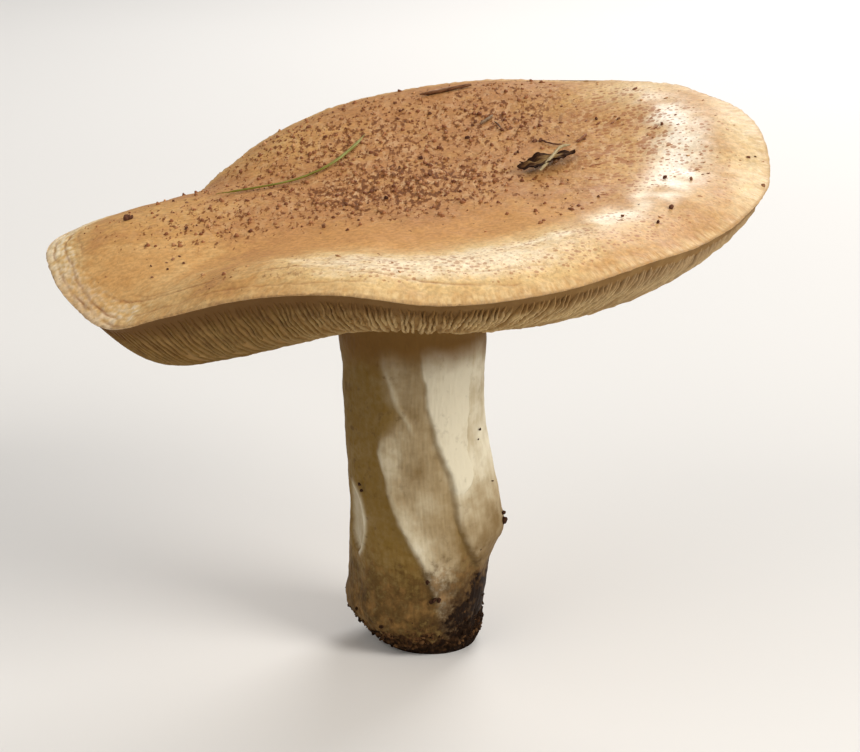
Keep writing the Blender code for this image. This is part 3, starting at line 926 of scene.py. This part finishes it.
stemDetail = {
    "sides": 320,
    "crowding": (28.0, 275.0),  # columns lie closer together round the second azimuth
    "rows": 240,
    "collarRows": 10,
    "headRise": 0.0005,
    "lumps": ((0.0065, 0.00022), (0.0022, 0.00010), (0.0009, 0.00004)),
    "fibres": (0.035, 0.00007),
    "soil": ((0.0022, 0.00038), (0.0010, 0.00030), (0.0005, 0.00014)),
    "soilTop": 0.0088,
    "flap": (201.0, 0.0218, 22.0, 0.0061),  # azimuth, height, half width and half height
    "foldRelief": {"ridge": 0.00056, "hollow": -0.00060, "plate": 0.00030},
    "edgeRelief": {"peel": 0.00022, "strip": 0.00024},
}
stemLines = {  # height and azimuth of the lines that the front folds along
    "ridge": (
        (0.0000, 288),
        (0.0117, 283),
        (0.0151, 278),
        (0.0183, 270),
        (0.0210, 263),
        (0.0253, 253),
        (0.0296, 249),
        (0.0351, 246),
        (0.0560, 238),
    ),
    "peel": (
        (0.0000, 315),
        (0.0300, 287),
        (0.0364, 273),
        (0.0396, 266),
        (0.0424, 258),
        (0.0560, 238),
    ),
    "step": (
        (0.0000, 334),
        (0.0159, 320),
        (0.0181, 312),
        (0.0246, 304),
        (0.0300, 300),
        (0.0328, 295),
        (0.0362, 289),
        (0.0392, 286),
        (0.0416, 283),
        (0.0560, 270),
    ),
    "strip": (
        (0.0000, 300),
        (0.0265, 306),
        (0.0276, 313),
        (0.0340, 318),
        (0.0405, 321),
        (0.0560, 328),
    ),
    # edge of the darker left side: a stain on the skin, and painted shade on the side away from the key light
    "stain": (
        (0.0000, 300),
        (0.0117, 283),
        (0.0151, 275),
        (0.0183, 268),
        (0.0210, 261),
        (0.0253, 253),
        (0.0296, 248),
        (0.0351, 246),
        (0.0375, 255),
        (0.0396, 264),
        (0.0424, 258),
        (0.0560, 246),
    ),
}


def stemColumn(key, column, heights):
    table = np.array(sorted(stemShape[key]))
    return hermite(table[:, 0], table[:, column], np.clip(heights, table[0, 0], table[-1, 0]))


def stemPoints(azimuths, heights, extra):
    s = stemShape
    radii = stemColumn("stations", 1, heights) + np.zeros_like(azimuths)
    turned = azimuths - s["twist"] * (underShape["apex"] - heights)
    top, second = s["stations"][0][0], s["stations"][1][0]
    strength = fade(0.0, s["fluteFade"], heights) * (1.0 - fade(second, top, heights))
    for azimuth, halfWidth, rise in s["flutes"]:
        radii = radii + strength * rise * swell(turned, azimuth, halfWidth)
    radii = radii + stemColumn("knee", 1, heights) * swell(azimuths, s["kneeAzimuth"], s["kneeWidth"])
    radii = radii + strength * extra
    angles = np.radians(azimuths)
    x = stemColumn("stations", 2, heights) + radii * np.cos(angles)
    return np.stack(np.broadcast_arrays(x, radii * np.sin(angles), heights), axis=-1)


def fromLine(key, azimuths, heights):  # signed degrees from one of the stem's lines
    table = np.array(stemLines[key], float)
    line = hermite(table[:, 0], table[:, 1], np.clip(heights, 0.0, table[-1, 0]))
    points = np.stack(np.broadcast_arrays(0.0, len(key), heights), axis=-1)
    return facing(azimuths, line + 1.6 * bumpy(points, 0.0035) + 0.8 * bumpy(points, 0.0012))


def stemFolds(azimuths, heights):  # the front: a ridge, a hollow plane, a step, and a torn strip on the plate
    far = {key: fromLine(key, azimuths, heights) for key in stemLines}
    ridge, peel, step, strip, stain = (far[key] for key in ("ridge", "peel", "step", "strip", "stain"))
    along = np.clip(ridge / np.maximum(ridge - step, 6.0), 0.0, 1.0)  # 0 at the ridge, 1 at the step
    between = fade(-1.0, 2.0, ridge) * fade(-0.4, 2.2, -step)
    deep = fade(0.008, 0.016, heights) * (1.0 - 0.45 * fade(0.023, 0.031, heights))
    falling = np.exp(-np.maximum(step - 3.0, 0.0) / 30.0) * fade(0.010, 0.018, heights)
    spread = 3.0 + 6.0 * fade(-1.0, 1.0, ridge)
    soft = 1.0 + 2.4 * fade(0.0350, 0.0395, heights)
    folds = {
        "hollow": between * along**1.6 * deep,
        "plate": falling * fade(-0.8, 2.8, step),
        "ridge": np.exp(-((ridge / spread) ** 2)) * window(0.0105, 0.0370, 0.0025, heights),
        "peel": np.exp(-((peel / 2.6) ** 2)) * fade(0.0355, 0.0400, heights),
        "strip": fade(-0.3, 1.5, step) * fade(-0.3, 1.5, -strip) * fade(0.0268, 0.0280, heights),
        # left of that edge: stain, and painted shade on the side away from the key light
        "stainedAndShaded": fade(-2.5 * soft, 4.0 * soft, -stain),
    }
    relief = weighted(folds, stemDetail["foldRelief"]) * (1.0 - 0.75 * fade(0.032, 0.045, heights))
    return relief + weighted(folds, stemDetail["edgeRelief"]), folds


def weighted(folds, weights):
    return sum(weight * folds[name] for name, weight in weights.items())


def tornFlap(azimuths, heights):  # a crescent of torn skin low on the left
    azimuth, height, halfWidth, halfHeight = stemDetail["flap"]
    wide, tall = facing(azimuths, azimuth) / halfWidth, (heights - height) / halfHeight
    away = np.hypot(wide, tall)
    inside = 1.0 - fade(0.86, 1.0, away)
    edge = np.exp(-(((away - 1.0) / 0.10) ** 2)) * fade(0.1, 0.5, wide)
    return -0.00060 * inside + 0.00032 * edge, inside, edge


stemColours = {
    "skin": (
        (0.00, (0.200, 0.130, 0.055)),
        (0.42, (0.365, 0.282, 0.165)),
        (0.75, (0.520, 0.446, 0.308)),
        (1.00, (0.650, 0.590, 0.445)),
    ),
    # stain on the left side, which also paints the shade on that side and in the hollow
    "stain": (0.196, 0.114, 0.022),
    "freckle": (0.095, 0.050, 0.018),
    "grime": ((0.38, (0.026, 0.012, 0.005)), (0.50, (0.095, 0.050, 0.016)), (0.63, (0.240, 0.130, 0.044))),
    "gilled": (0.190, 0.098, 0.026),
    "crust": ((0.32, (0.012, 0.006, 0.003)), (0.52, (0.060, 0.026, 0.010)), (0.70, (0.190, 0.095, 0.036))),
    "dark": (0.042, 0.020, 0.008),
    "darkest": (0.009, 0.004, 0.002),
}


def stemMaterial():
    material, tree, place = newMaterial("stemSkin", 0.58, 0.05)
    c = stemColours
    names = ("stain", "bright", "soil", "grime", "gilled", "dark")
    stain, bright, soil, grime, gilled, dark = (attributeOf(tree, name) for name in names)
    fibres = attributeOf(tree, "fibre", "Vector").cloud(1.0, 4.0, 0.6)
    fine, coarse = place.cloud(900.0, 4.0, 0.62), place.cloud(420.0, 3.0, 0.6)
    level = bright + place.cloud(170.0, 3.0).remap(0.3, 0.7, -0.20, 0.20)
    level = level + fibres.remap(0.3, 0.7, -0.05, 0.05) + coarse.remap(0.3, 0.7, -0.13, 0.13)
    # stain colour: real stain, and painted shade on the left side and in the hollow
    base = level.ramp(*c["skin"]).mix(stain * fine.remap(0.3, 0.7, 0.80, 1.0), c["stain"])
    freckle = place.cloud(620.0, 3.0, 0.6).rise(0.58, 0.72) * stain.remap(0.15, 0.7, 0.18, 0.55)
    base = base.mix(freckle, c["freckle"])

    grime = (grime + fine.remap(0.3, 0.7, -0.30, 0.30)).rise(0.25, 0.95)
    base = base.mix(grime * 0.88, (coarse * 0.55 + fine * 0.45).ramp(*c["grime"]))
    base = base.mix(gilled, c["gilled"])
    crumbs = place.cloud(1300.0, 4.0, 0.65)
    crust = (soil + fine.remap(0.3, 0.7, -0.34, 0.34)).rise(0.36, 0.80)
    base = base.mix(crust, crumbs.ramp(*c["crust"]))
    dark = (dark + fine.remap(0.36, 0.64, -0.30, 0.30)).remap(0.33, 0.95, 0.0, 0.96)
    base = base.mix(dark, c["dark"]).mix(dark**2.5, c["darkest"])

    relief = crust * (crumbs * 2.5) + (fibres * 0.22 + fine * 0.6)
    wires = {"Base Color": base, "Roughness": crust * 0.35 + 0.56, "Normal": relief.bump(0.6, 0.00025)}
    return plug(material, wires)


stemMarks = {
    "folds": {"plate": 0.26, "ridge": 0.22, "hollow": -0.24, "peel": 0.40, "strip": 0.28},  # brighter by: the ridge's bright line is a painted highlight, the hollow's darkening painted shade, and the plate's brightening partly painted light
    "spots": (  # how much brighter, first and last height with soft ends, azimuth and half width
        (0.16, (0.017, 0.028, 0.003), 272.0, 12.0),
        (0.14, (0.012, 0.018, 0.002), 290.0, 15.0),
        (-0.20, (0.026, 0.038, 0.004), 276.0, 15.0),
    ),
    "dirtySide": 350.0,
}


def stemPaint(rows, azimuths, first, folds, inside, lip):  # brightness and stains, both partly painted light and shade, and soil, from 0 to 1
    levels = rows[..., 2]
    sides = np.broadcast_to(azimuths, levels.shape)
    wobble, ripple = bumpy(rows, 0.004, 31.0), bumpy(rows, 0.0015, 17.0)
    height = levels + 0.0022 * wobble + 0.0010 * ripple
    soil = 1.0 - fade(0.05, 1.10, levels / (stemDetail["soilTop"] * (1.0 + 0.45 * wobble + 0.25 * ripple)))
    off = np.abs(facing(sides, stemMarks["dirtySide"]))
    aside, slant = fade(0.0, 44.0, 82.0 - off), fade(0.0, 50.0, 62.0 - off)
    dark = aside * (1.0 - fade(0.0060, 0.0150, height - 0.0034 * slant))
    dark = np.maximum(dark, 0.85 * (1.0 - fade(0.0006, 0.0050, height)))

    bright, stain = np.full(levels.shape, 0.46), np.full(levels.shape, 0.75)
    # paler towards the right side: partly the skin's paler colour, partly painted light where the key light
    # falls
    right = fade(-12.0, 25.0, facing(sides, 285.0)) * fade(0.0, 45.0, 112.0 - np.abs(facing(sides, 330.0)))
    bright += 0.16 * right * fade(0.012, 0.026, levels)
    bright += 0.18 * fade(10.0, 32.0, facing(sides, 306.0)) * right * fade(0.022, 0.030, levels)
    bright -= 0.58 * (1.0 - fade(0.0195, 0.0310, height)) * fade(0.0, 20.0, facing(sides, 296.0))
    for amount, band, azimuth, halfWidth in stemMarks["spots"]:
        bright += amount * window(*band, levels) * swell(sides, azimuth, halfWidth)
    # painted highlight on the ridge, painted shade in the hollow, and partly painted light on the plate
    bright[first:] += weighted(folds, stemMarks["folds"]) + 0.45 * lip + 0.25 * inside
    back = fade(-180.0, -120.0, facing(sides, 258.0))
    # stain, and painted shade on the left side away from the key light and in the hollow
    stain[first:] = folds["stainedAndShaded"] * (0.35 + 0.65 * back[first:]) * (1.0 - 0.75 * inside) * (1.0 - lip)
    stain[first:] = np.maximum(stain[first:], 0.40 * folds["hollow"])
    return {
        "bright": bright,
        "stain": np.clip(stain, 0.0, 1.0),
        "soil": np.maximum(soil, 0.10 * dark),
        "dark": dark,
        "grime": (1.0 - fade(0.0090, 0.0235, height)) * (0.82 + 0.18 * aside),
        "gilled": fade(0.0455, 0.0505, levels + 0.0015 * wobble),
    }


def buildStem():
    d = stemDetail
    turns = np.arange(d["sides"]) / d["sides"]
    swing, middle = d["crowding"]
    azimuths = 360.0 * turns - swing * np.sin(2 * np.pi * (turns - middle / 360.0))
    collarTurns = np.linspace(0.0, 1.0, d["collarRows"], endpoint=False)
    collar = np.array([filletPoints(azimuths, turn) for turn in collarTurns])
    heights = (stemShape["stations"][0][0] * (1.0 - np.linspace(0.0, 1.0, d["rows"])))[:, None]
    relief, folds = stemFolds(azimuths, heights)
    torn, inside, lip = tornFlap(azimuths, heights)
    rows = np.concatenate([collar, stemPoints(azimuths, heights, relief + torn)])
    paint = stemPaint(rows, azimuths, len(collar), folds, inside, lip)

    levels = rows[..., 2]
    angles = np.broadcast_to(np.radians(azimuths), levels.shape)
    grain = np.stack([np.cos(angles), np.sin(angles), levels * 20.0], axis=-1)
    relief = lumpy(rows, d["lumps"]) + lumpy(grain, [d["fibres"]]) + paint["soil"] * lumpy(rows, d["soil"])
    rows = rows + gridNormals(rows) * (relief * fade(0.0, 0.0018, levels))[..., None]
    head = (*capShape["axis"], underShape["apex"] + d["headRise"])
    paint["fibre"] = grain * (24.0, 24.0, 2.4)
    return addObject("stem", turnedMesh("stem", rows, head, (0.0, 0.0, 0.0), paint), stemMaterial())


stem = buildStem()
print("stem built")


# Soil crumbs on the foot, and loose grains on the skin
soilSizes = {"Density": 2.0e6, "Size": 0.00050, "Seed": 21}
grainSizes = {"Density": 0.0, "Size": 0.00085, "Seed": 8}
grainPlaces = (  # place in the plan and radius, in millimetres
    (-45.2, 1.0, 0.75), (-44.6, 1.5, 0.45), (-36.8, 6.6, 0.36), (-39.2, 9.2, 0.26), (-35.6, -6.0, 0.42),
    (-37.3, -17.3, 0.34), (-36.5, -16.6, 0.42), (-35.6, -15.9, 0.34), (-34.8, -18.2, 0.30),
    (-37.0, -19.5, 0.26), (-39.5, -17.6, 0.28), (-39.0, -21.0, 0.28), (-15.3, -11.0, 0.52),
    (-12.4, -2.4, 0.44), (-8.1, 3.2, 0.48), (-6.5, -1.4, 0.42), (-5.5, 8.5, 0.42), (-4.6, 11.5, 0.38),
    (-1.4, 14.9, 0.42), (-5.7, 39.2, 0.42), (0.0, 33.4, 0.36), (5.9, 21.2, 0.50), (6.8, 26.3, 0.35),
    (7.3, 27.6, 0.45), (11.4, 22.4, 0.64), (10.4, 9.6, 0.40), (13.5, 12.4, 0.35), (16.3, 26.8, 0.32),
    (16.2, 15.8, 0.52), (17.1, 15.6, 0.48), (20.3, -1.4, 0.25), (24.3, -9.5, 0.40), (26.9, -19.2, 0.30),
    (31.8, -21.1, 0.38), (34.2, -15.6, 0.46), (34.4, -3.6, 0.38), (38.1, -5.0, 0.32), (26.0, 20.4, 0.34),
    (29.3, 18.8, 0.36), (35.5, 13.9, 0.40), (47.6, 3.9, 0.38), (48.7, 4.5, 0.28), (49.0, -2.7, 0.42),
)
clodPlaces = (  # azimuth, height and radius of the clods on the stem, in degrees and millimetres
    (346.5, 20.6, 0.85), (349.0, 21.6, 0.55), (278.0, 13.6, 0.55), (284.0, 10.6, 0.60),
    (287.5, 10.5, 0.55), (281.5, 10.2, 0.45), (333.5, 36.0, 0.28), (329.5, 34.7, 0.24),
    (340.5, 27.4, 0.24), (321.0, 17.6, 0.26), (221.0, 27.8, 0.38), (223.0, 27.0, 0.30),
)
crumbDetail = {
    "soilFloor": (0.0007, 0.0016),  # no crumb grows below these heights
    "grainSunk": 0.35,  # a grain's middle is this share of its radius above the skin
    "clodOut": 0.00025,
    "roundness": {"soil": 1, "grains": 3},
    "jagged": {"soil": (1500.0, 0.00060), "grains": (1500.0, 0.00050)},
}
crumbTones = {  # from the darkest to the palest crumb
    "earth": ((0.0, (0.012, 0.006, 0.003)), (0.6, (0.036, 0.016, 0.007)), (1.0, (0.120, 0.060, 0.024))),
    "grit": ((0.0, (0.075, 0.030, 0.020)), (0.6, (0.180, 0.078, 0.042)), (1.0, (0.290, 0.150, 0.080))),
    "wet": (0.045, 0.020, 0.011),
}


def crumbTree(kind, sizes, material):  # soil is strewn over the guide, and grains stand on its points
    tree, given = newGeometryTree(kind + "Crumbs", sizes)
    key, seeds = indexOf(tree), [given["Seed"] + float(i) for i in range(4)]
    if kind == "soil":
        share = kept(tree, "soil") ** 2.0 * partOf(positionOf(tree), 2).remap(*crumbDetail["soilFloor"])
        inputs = {4: share * given["Density"], 6: given["Seed"]}
        points = given["Geometry"].then("GeometryNodeDistributePointsOnFaces", inputs)
        growth = randomOf(0.45, 1.0, key, seeds[3]) ** 2.0
    else:
        points = given["Geometry"].then("GeometryNodeMeshToPoints")
        growth = kept(tree, "size")
    points = keep(points, "tint", randomOf(0.0, 1.0, key, seeds[0]))
    turn = joined(tree, *(randomOf(0.0, 6.28, key, seeds[axis]) for axis in range(3)))
    size = given["Size"] * growth
    ranges = ((0.6, 1.0, seeds[1]), (0.5, 0.9, seeds[2]))
    flatter = [size * randomOf(low, high, key, seed) for low, high, seed in ranges]
    ball = addNode(tree, "GeometryNodeMeshIcoSphere", {0: 1.0, 1: crumbDetail["roundness"][kind]})[0]
    inputs = {2: ball, 5: turn.then("FunctionNodeEulerToRotation"), 6: joined(tree, size, *flatter)}
    crumbs = points.then("GeometryNodeInstanceOnPoints", inputs).then("GeometryNodeRealizeInstances")
    return endTree(jagged(crumbs, *crumbDetail["jagged"][kind]), material)


def crumbMaterial(name):
    material, tree, place = newMaterial(name, 0.9, 0.05)
    fine = place.cloud(2200.0, 3.0, 0.6)
    base = attributeOf(tree, "tint").ramp(*crumbTones[name]).mix(attributeOf(tree, "wet"), crumbTones["wet"])
    base = base.mix(1.0, fine.remap(0.3, 0.7, 0.6, 1.35), "MULTIPLY")
    return plug(material, {"Base Color": base, "Normal": fine.bump(0.6, 0.0002)})


def grainGuide():
    places = []
    for x, y, radius in grainPlaces:
        height = skinAt(x / 1e3, y / 1e3) + crumbDetail["grainSunk"] * radius / 1e3
        places.append((x / 1e3, y / 1e3, height))
    for azimuth, height, radius in clodPlaces:
        spot = stemPoints(np.array([azimuth]), np.array([height / 1e3]), crumbDetail["clodOut"])[0]
        places.append(tuple(spot))
    mesh = bpy.data.meshes.new("grainGuide")
    mesh.from_pydata(places, [], [])
    addAttribute(mesh, "size", [place[2] for place in grainPlaces + clodPlaces])
    addAttribute(mesh, "wet", [0.0] * len(grainPlaces) + [1.0] * len(clodPlaces))
    return addObject("grainGuide", mesh)


soilTree = crumbTree("soil", soilSizes, crumbMaterial("earth"))
grainTree = crumbTree("grains", grainSizes, crumbMaterial("grit"))
crumbs = grow("crumbs", copyForGuide(stem), soilTree, soilSizes)
grains = grow("grains", grainGuide(), grainTree, grainSizes)


# Litter: slivers that lie along the skin, and a crumpled scrap of bark
sliverDetail = {"rows": 90, "sides": 14, "endFade": 0.16, "rough": 0.00006}
slivers = {  # route in millimetres, then half width, half height, lift and the share left at each end
    "grass": (
        ((-32.7, 8.8), (-27.7, 9.6), (-21.5, 11.4), (-16.2, 14.9), (-12.6, 20.9), (-10.3, 26.9)),
        (0.00034, 0.00014, 0.00035, 0.30, 0.10),
    ),
    "straw": (
        ((16.3, 0.4), (17.4, 3.0), (18.6, 6.0), (19.5, 8.2), (20.2, 8.9), (21.3, 9.0)),
        (0.00028, 0.00022, 0.00115, 0.55, 0.35),
    ),
    "needle": (
        ((-1.7, 40.9), (0.6, 41.1), (2.8, 41.7), (4.8, 42.4), (6.8, 43.0)),
        (0.00040, 0.00028, 0.00022, 0.45, 0.70),
    ),
    "splinter": (
        ((-0.6, 41.6), (0.9, 42.2), (2.6, 42.6), (3.6, 43.1)),
        (0.00042, 0.00022, 0.00018, 0.25, 0.25),
    ),
    "twig": (
        ((8.0, 26.2), (8.9, 27.2), (10.0, 28.8)),
        (0.00027, 0.00022, 0.00014, 0.40, 0.50),
    ),
    "redTwig": (
        ((22.4, 12.6), (23.2, 13.4), (24.2, 15.1)),
        (0.00024, 0.00018, 0.00010, 0.35, 0.15),
    ),
    "thread": (
        ((17.2, 15.6), (17.8, 14.4), (18.5, 13.6), (19.4, 12.8), (20.6, 12.4)),
        (0.00014, 0.00012, 0.00020, 0.60, 0.20),
    ),
    "hair": (
        ((10.2, 26.2), (10.7, 24.9), (11.2, 22.9)),
        (0.00010, 0.00009, 0.00030, 0.40, 0.60),
    ),
}
sliverColours = {  # dark, middle and pale tone, and the share of the way that the pale end takes
    "grass": ((0.095, 0.080, 0.005), (0.175, 0.155, 0.014), (0.330, 0.340, 0.120), 0.85),
    "straw": ((0.230, 0.165, 0.075), (0.410, 0.320, 0.170), (0.540, 0.460, 0.290), 0.35),
    "needle": ((0.055, 0.020, 0.009), (0.170, 0.070, 0.028), (0.340, 0.190, 0.095), 0.10),
    "splinter": ((0.240, 0.110, 0.055), (0.460, 0.260, 0.150), (0.600, 0.400, 0.250), 0.20),
    "twig": ((0.110, 0.060, 0.030), (0.250, 0.170, 0.105), (0.360, 0.270, 0.180), 0.20),
    "redTwig": ((0.120, 0.040, 0.018), (0.230, 0.090, 0.036), (0.340, 0.160, 0.070), 0.10),
    "thread": ((0.060, 0.022, 0.012), (0.120, 0.045, 0.022), (0.220, 0.100, 0.045), 0.10),
    "hair": ((0.050, 0.025, 0.014), (0.090, 0.050, 0.028), (0.160, 0.100, 0.060), 0.10),
}
flakeShape = {
    "centre": (0.0175, 0.0052),
    "heading": 28.0,
    "half": (0.0046, 0.0021),
    "lift": 0.00030,
    "thickness": 0.00026,
    "curl": 0.00090,
    "crumple": 0.00055,
    "ragged": ((1.6, 0.34), (5.0, 0.26)),  # how often the outline wavers, and how far
    "rows": 26,
    "sides": 144,
    "tones": (
        (0.10, (0.022, 0.009, 0.005)),
        (0.40, (0.085, 0.038, 0.014)),
        (0.70, (0.220, 0.130, 0.048)),
        (1.00, (0.360, 0.250, 0.110)),
    ),
}


def turnOut(mesh):  # turns a closed mesh's faces outward
    shell = bmesh.new()
    shell.from_mesh(mesh)
    if shell.calc_volume(signed=True) < 0:
        bmesh.ops.reverse_faces(shell, faces=shell.faces)
    shell.to_mesh(mesh)
    shell.free()
    return mesh


def sliverMaterial(name):
    dark, middle, light, paleEnd = sliverColours[name]
    material, tree, place = newMaterial(name + "Fibre", 0.6, 0.08)
    grain = attributeOf(tree, "grain", "Vector").cloud(1.0, 3.0, 0.6)
    tone = attributeOf(tree, "along") ** 2.5 * (paleEnd * 0.6) + grain.remap(0.33, 0.67, -0.10, 0.85)
    base = tone.ramp((0.0, dark), (0.5, middle), (1.0, light))
    return plug(material, {"Base Color": base, "Normal": grain.bump(0.5, 0.00010)})


def buildSliver(name):
    d = sliverDetail
    route, (halfWidth, halfHeight, lift, start, end) = slivers[name]
    knots, at = np.linspace(0.0, 1.0, len(route)), np.linspace(0.0, 1.0, d["rows"])
    x, y = (hermite(knots, np.array([point[axis] for point in route]) / 1e3, at) for axis in (0, 1))
    middle = np.stack([x, y, skinAt(x, y) + lift + halfHeight], axis=-1)
    along = unit(np.gradient(middle, axis=0))
    side = unit(np.cross(along, (0.0, 0.0, 1.0)))
    up = np.cross(side, along)
    nearStart, nearEnd = fade(0, d["endFade"], at), fade(0, d["endFade"], 1 - at)
    width = np.minimum(start + (1 - start) * nearStart, end + (1 - end) * nearEnd)
    turns = np.linspace(0.0, 2 * np.pi, d["sides"], endpoint=False)[None, :, None]
    rows = side[:, None] * np.cos(turns) * halfWidth + up[:, None] * np.sin(turns) * halfHeight
    rows = middle[:, None] + rows * width[:, None, None]
    spread, turns = np.broadcast_arrays(at[:, None], turns[..., 0])
    grain = np.stack([np.cos(turns) * 3, np.sin(turns) * 3, spread * 9], axis=-1)
    rows = rows + up[:, None] * (d["rough"] * bumpy(rows, 0.0006))[..., None]
    mesh = turnedMesh(name, rows, middle[0], middle[-1], {"along": spread, "grain": grain})
    return addObject(name, turnOut(mesh), sliverMaterial(name))


def flakeMaterial():
    material, tree, place = newMaterial("barkFlake", 0.85, 0.04)
    fibres = attributeOf(tree, "grain", "Vector").cloud(1.0, 4.0, 0.65)
    level = attributeOf(tree, "inside") + fibres.remap(0.3, 0.7, -0.40, 0.40)
    base = level.ramp(*flakeShape["tones"])
    return plug(material, {"Base Color": base, "Normal": fibres.bump(0.8, 0.00025)})


def buildFlake():
    s = flakeShape
    turns = np.linspace(0.0, 2 * np.pi, s["sides"], endpoint=False)
    ring = np.stack([np.cos(turns), np.sin(turns), 0 * turns], axis=-1)
    outline = 1.0 + sum(reach * bumpy(ring * often, 1.0, often) for often, reach in s["ragged"])
    share = np.linspace(0.0, 1.0, s["rows"] + 1)[1:, None]
    u, v = (share * outline * s["half"][axis] * ring[:, axis] for axis in (0, 1))
    heading = math.radians(s["heading"])
    x = s["centre"][0] + u * math.cos(heading) - v * math.sin(heading)
    y = s["centre"][1] + u * math.sin(heading) + v * math.cos(heading)
    flat = np.stack([x, y, 0 * x], axis=-1)
    wave = bumpy(flat, 0.0022, 5.0)
    height = skinAt(x, y) + s["lift"] + s["crumple"] * (1 + wave + 0.5 * bumpy(flat, 0.0009, 2.0))
    height = height + s["curl"] * share**3 * np.clip(bumpy(ring * 1.3, 1.0, 8.0) + 0.35, 0, 1)
    thickness = s["thickness"] * np.sqrt(1.0 - 0.9 * share**4)
    top, under = np.stack([x, y, height + thickness], axis=-1), np.stack([x, y, height], axis=-1)
    rows = np.concatenate([top, under[::-1]])
    inside = np.clip(0.62 * (1.0 - share**2) + 0.35 * wave, 0, 1) + 0 * x
    grain = np.stack([u * 300, v * 1400, 0 * u], axis=-1)
    inside = np.concatenate([inside, 0.4 * inside[::-1]])
    paint = {"inside": inside, "grain": np.concatenate([grain, grain[::-1]])}
    middle = [(*s["centre"], rows[row, :, 2].mean()) for row in (0, -1)]
    return addObject("flake", turnOut(turnedMesh("flake", rows, *middle, paint)), flakeMaterial())


litter = {name: buildSliver(name) for name in slivers}
flake = buildFlake()
print("litter built")


# Stage: pale floor, soft lights and plain surroundings
stageSettings = {
    "floorRadius": 3.0,
    "floorSides": 64,
    "floorShades": ((0.3, (0.7252, 0.7154, 0.7007)), (0.7, (0.74, 0.73, 0.715))),
    "surroundings": ((1.0, 0.99, 0.975, 1.0), 0.34),  # colour and strength
    "lightTarget": (0, 0, 0.05),
    "lights": (  # name, place, size, watts, colour
        ("key", (0.62, -0.40, 0.52), 0.45, 6.0, (1.0, 0.96, 0.90)),
        ("sheen", (0.30, 0.80, 0.62), 0.60, 6.6, (1.0, 0.98, 0.96)),
        ("fill", (-0.55, -0.45, 0.60), 0.80, 2.6, (1.0, 0.94, 0.86)),
    ),
}


def buildFloor():
    s = stageSettings
    turns = np.linspace(0.0, 2 * np.pi, s["floorSides"], endpoint=False)
    points = [(s["floorRadius"] * math.cos(a), s["floorRadius"] * math.sin(a), 0.0) for a in turns]
    mesh = bpy.data.meshes.new("floor")
    mesh.from_pydata(points, [], [list(range(len(points)))])
    material, tree, place = newMaterial("floorPaint", 0.9, 0.2)
    plug(material, {"Base Color": place.cloud(3.0).ramp(*s["floorShades"])})
    addObject("floor", mesh, material)


def buildLights():
    s = stageSettings
    world = bpy.data.worlds.new("surroundings")
    world.use_nodes = True
    background = world.node_tree.nodes["Background"]
    for label, value in zip(("Color", "Strength"), s["surroundings"]):
        background.inputs[label].default_value = value
    scene.world = world
    for name, place, size, power, colour in s["lights"]:
        data = bpy.data.lights.new(name, "AREA")
        data.shape, data.size, data.energy, data.color = "DISK", size, power, colour
        light = bpy.data.objects.new(name, data)
        light.location = place
        aim = Vector(s["lightTarget"]) - Vector(place)
        light.rotation_euler = aim.to_track_quat("-Z", "Y").to_euler()
        scene.collection.objects.link(light)
    scene.view_settings.view_transform = "Standard"


buildFloor()
buildLights()
print("stage set")

slotOf = {cap: "cap_skin", scales: "cap_skin", gills: "gills", stem: "stem_skin"}
slotOf |= {crumbs: "bark", grains: "bark", flake: "bark"}
slotOf |= {piece: name if name in ("grass", "straw") else "bark" for name, piece in litter.items()}
for piece, slot in slotOf.items():
    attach(piece, "root")
stands = {"mushroom": cap, "grass_blade": litter["grass"], "straw": litter["straw"]}
stands |= {"needle": litter["needle"], "bark_flake": flake}
for node, piece in stands.items():
    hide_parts(node)
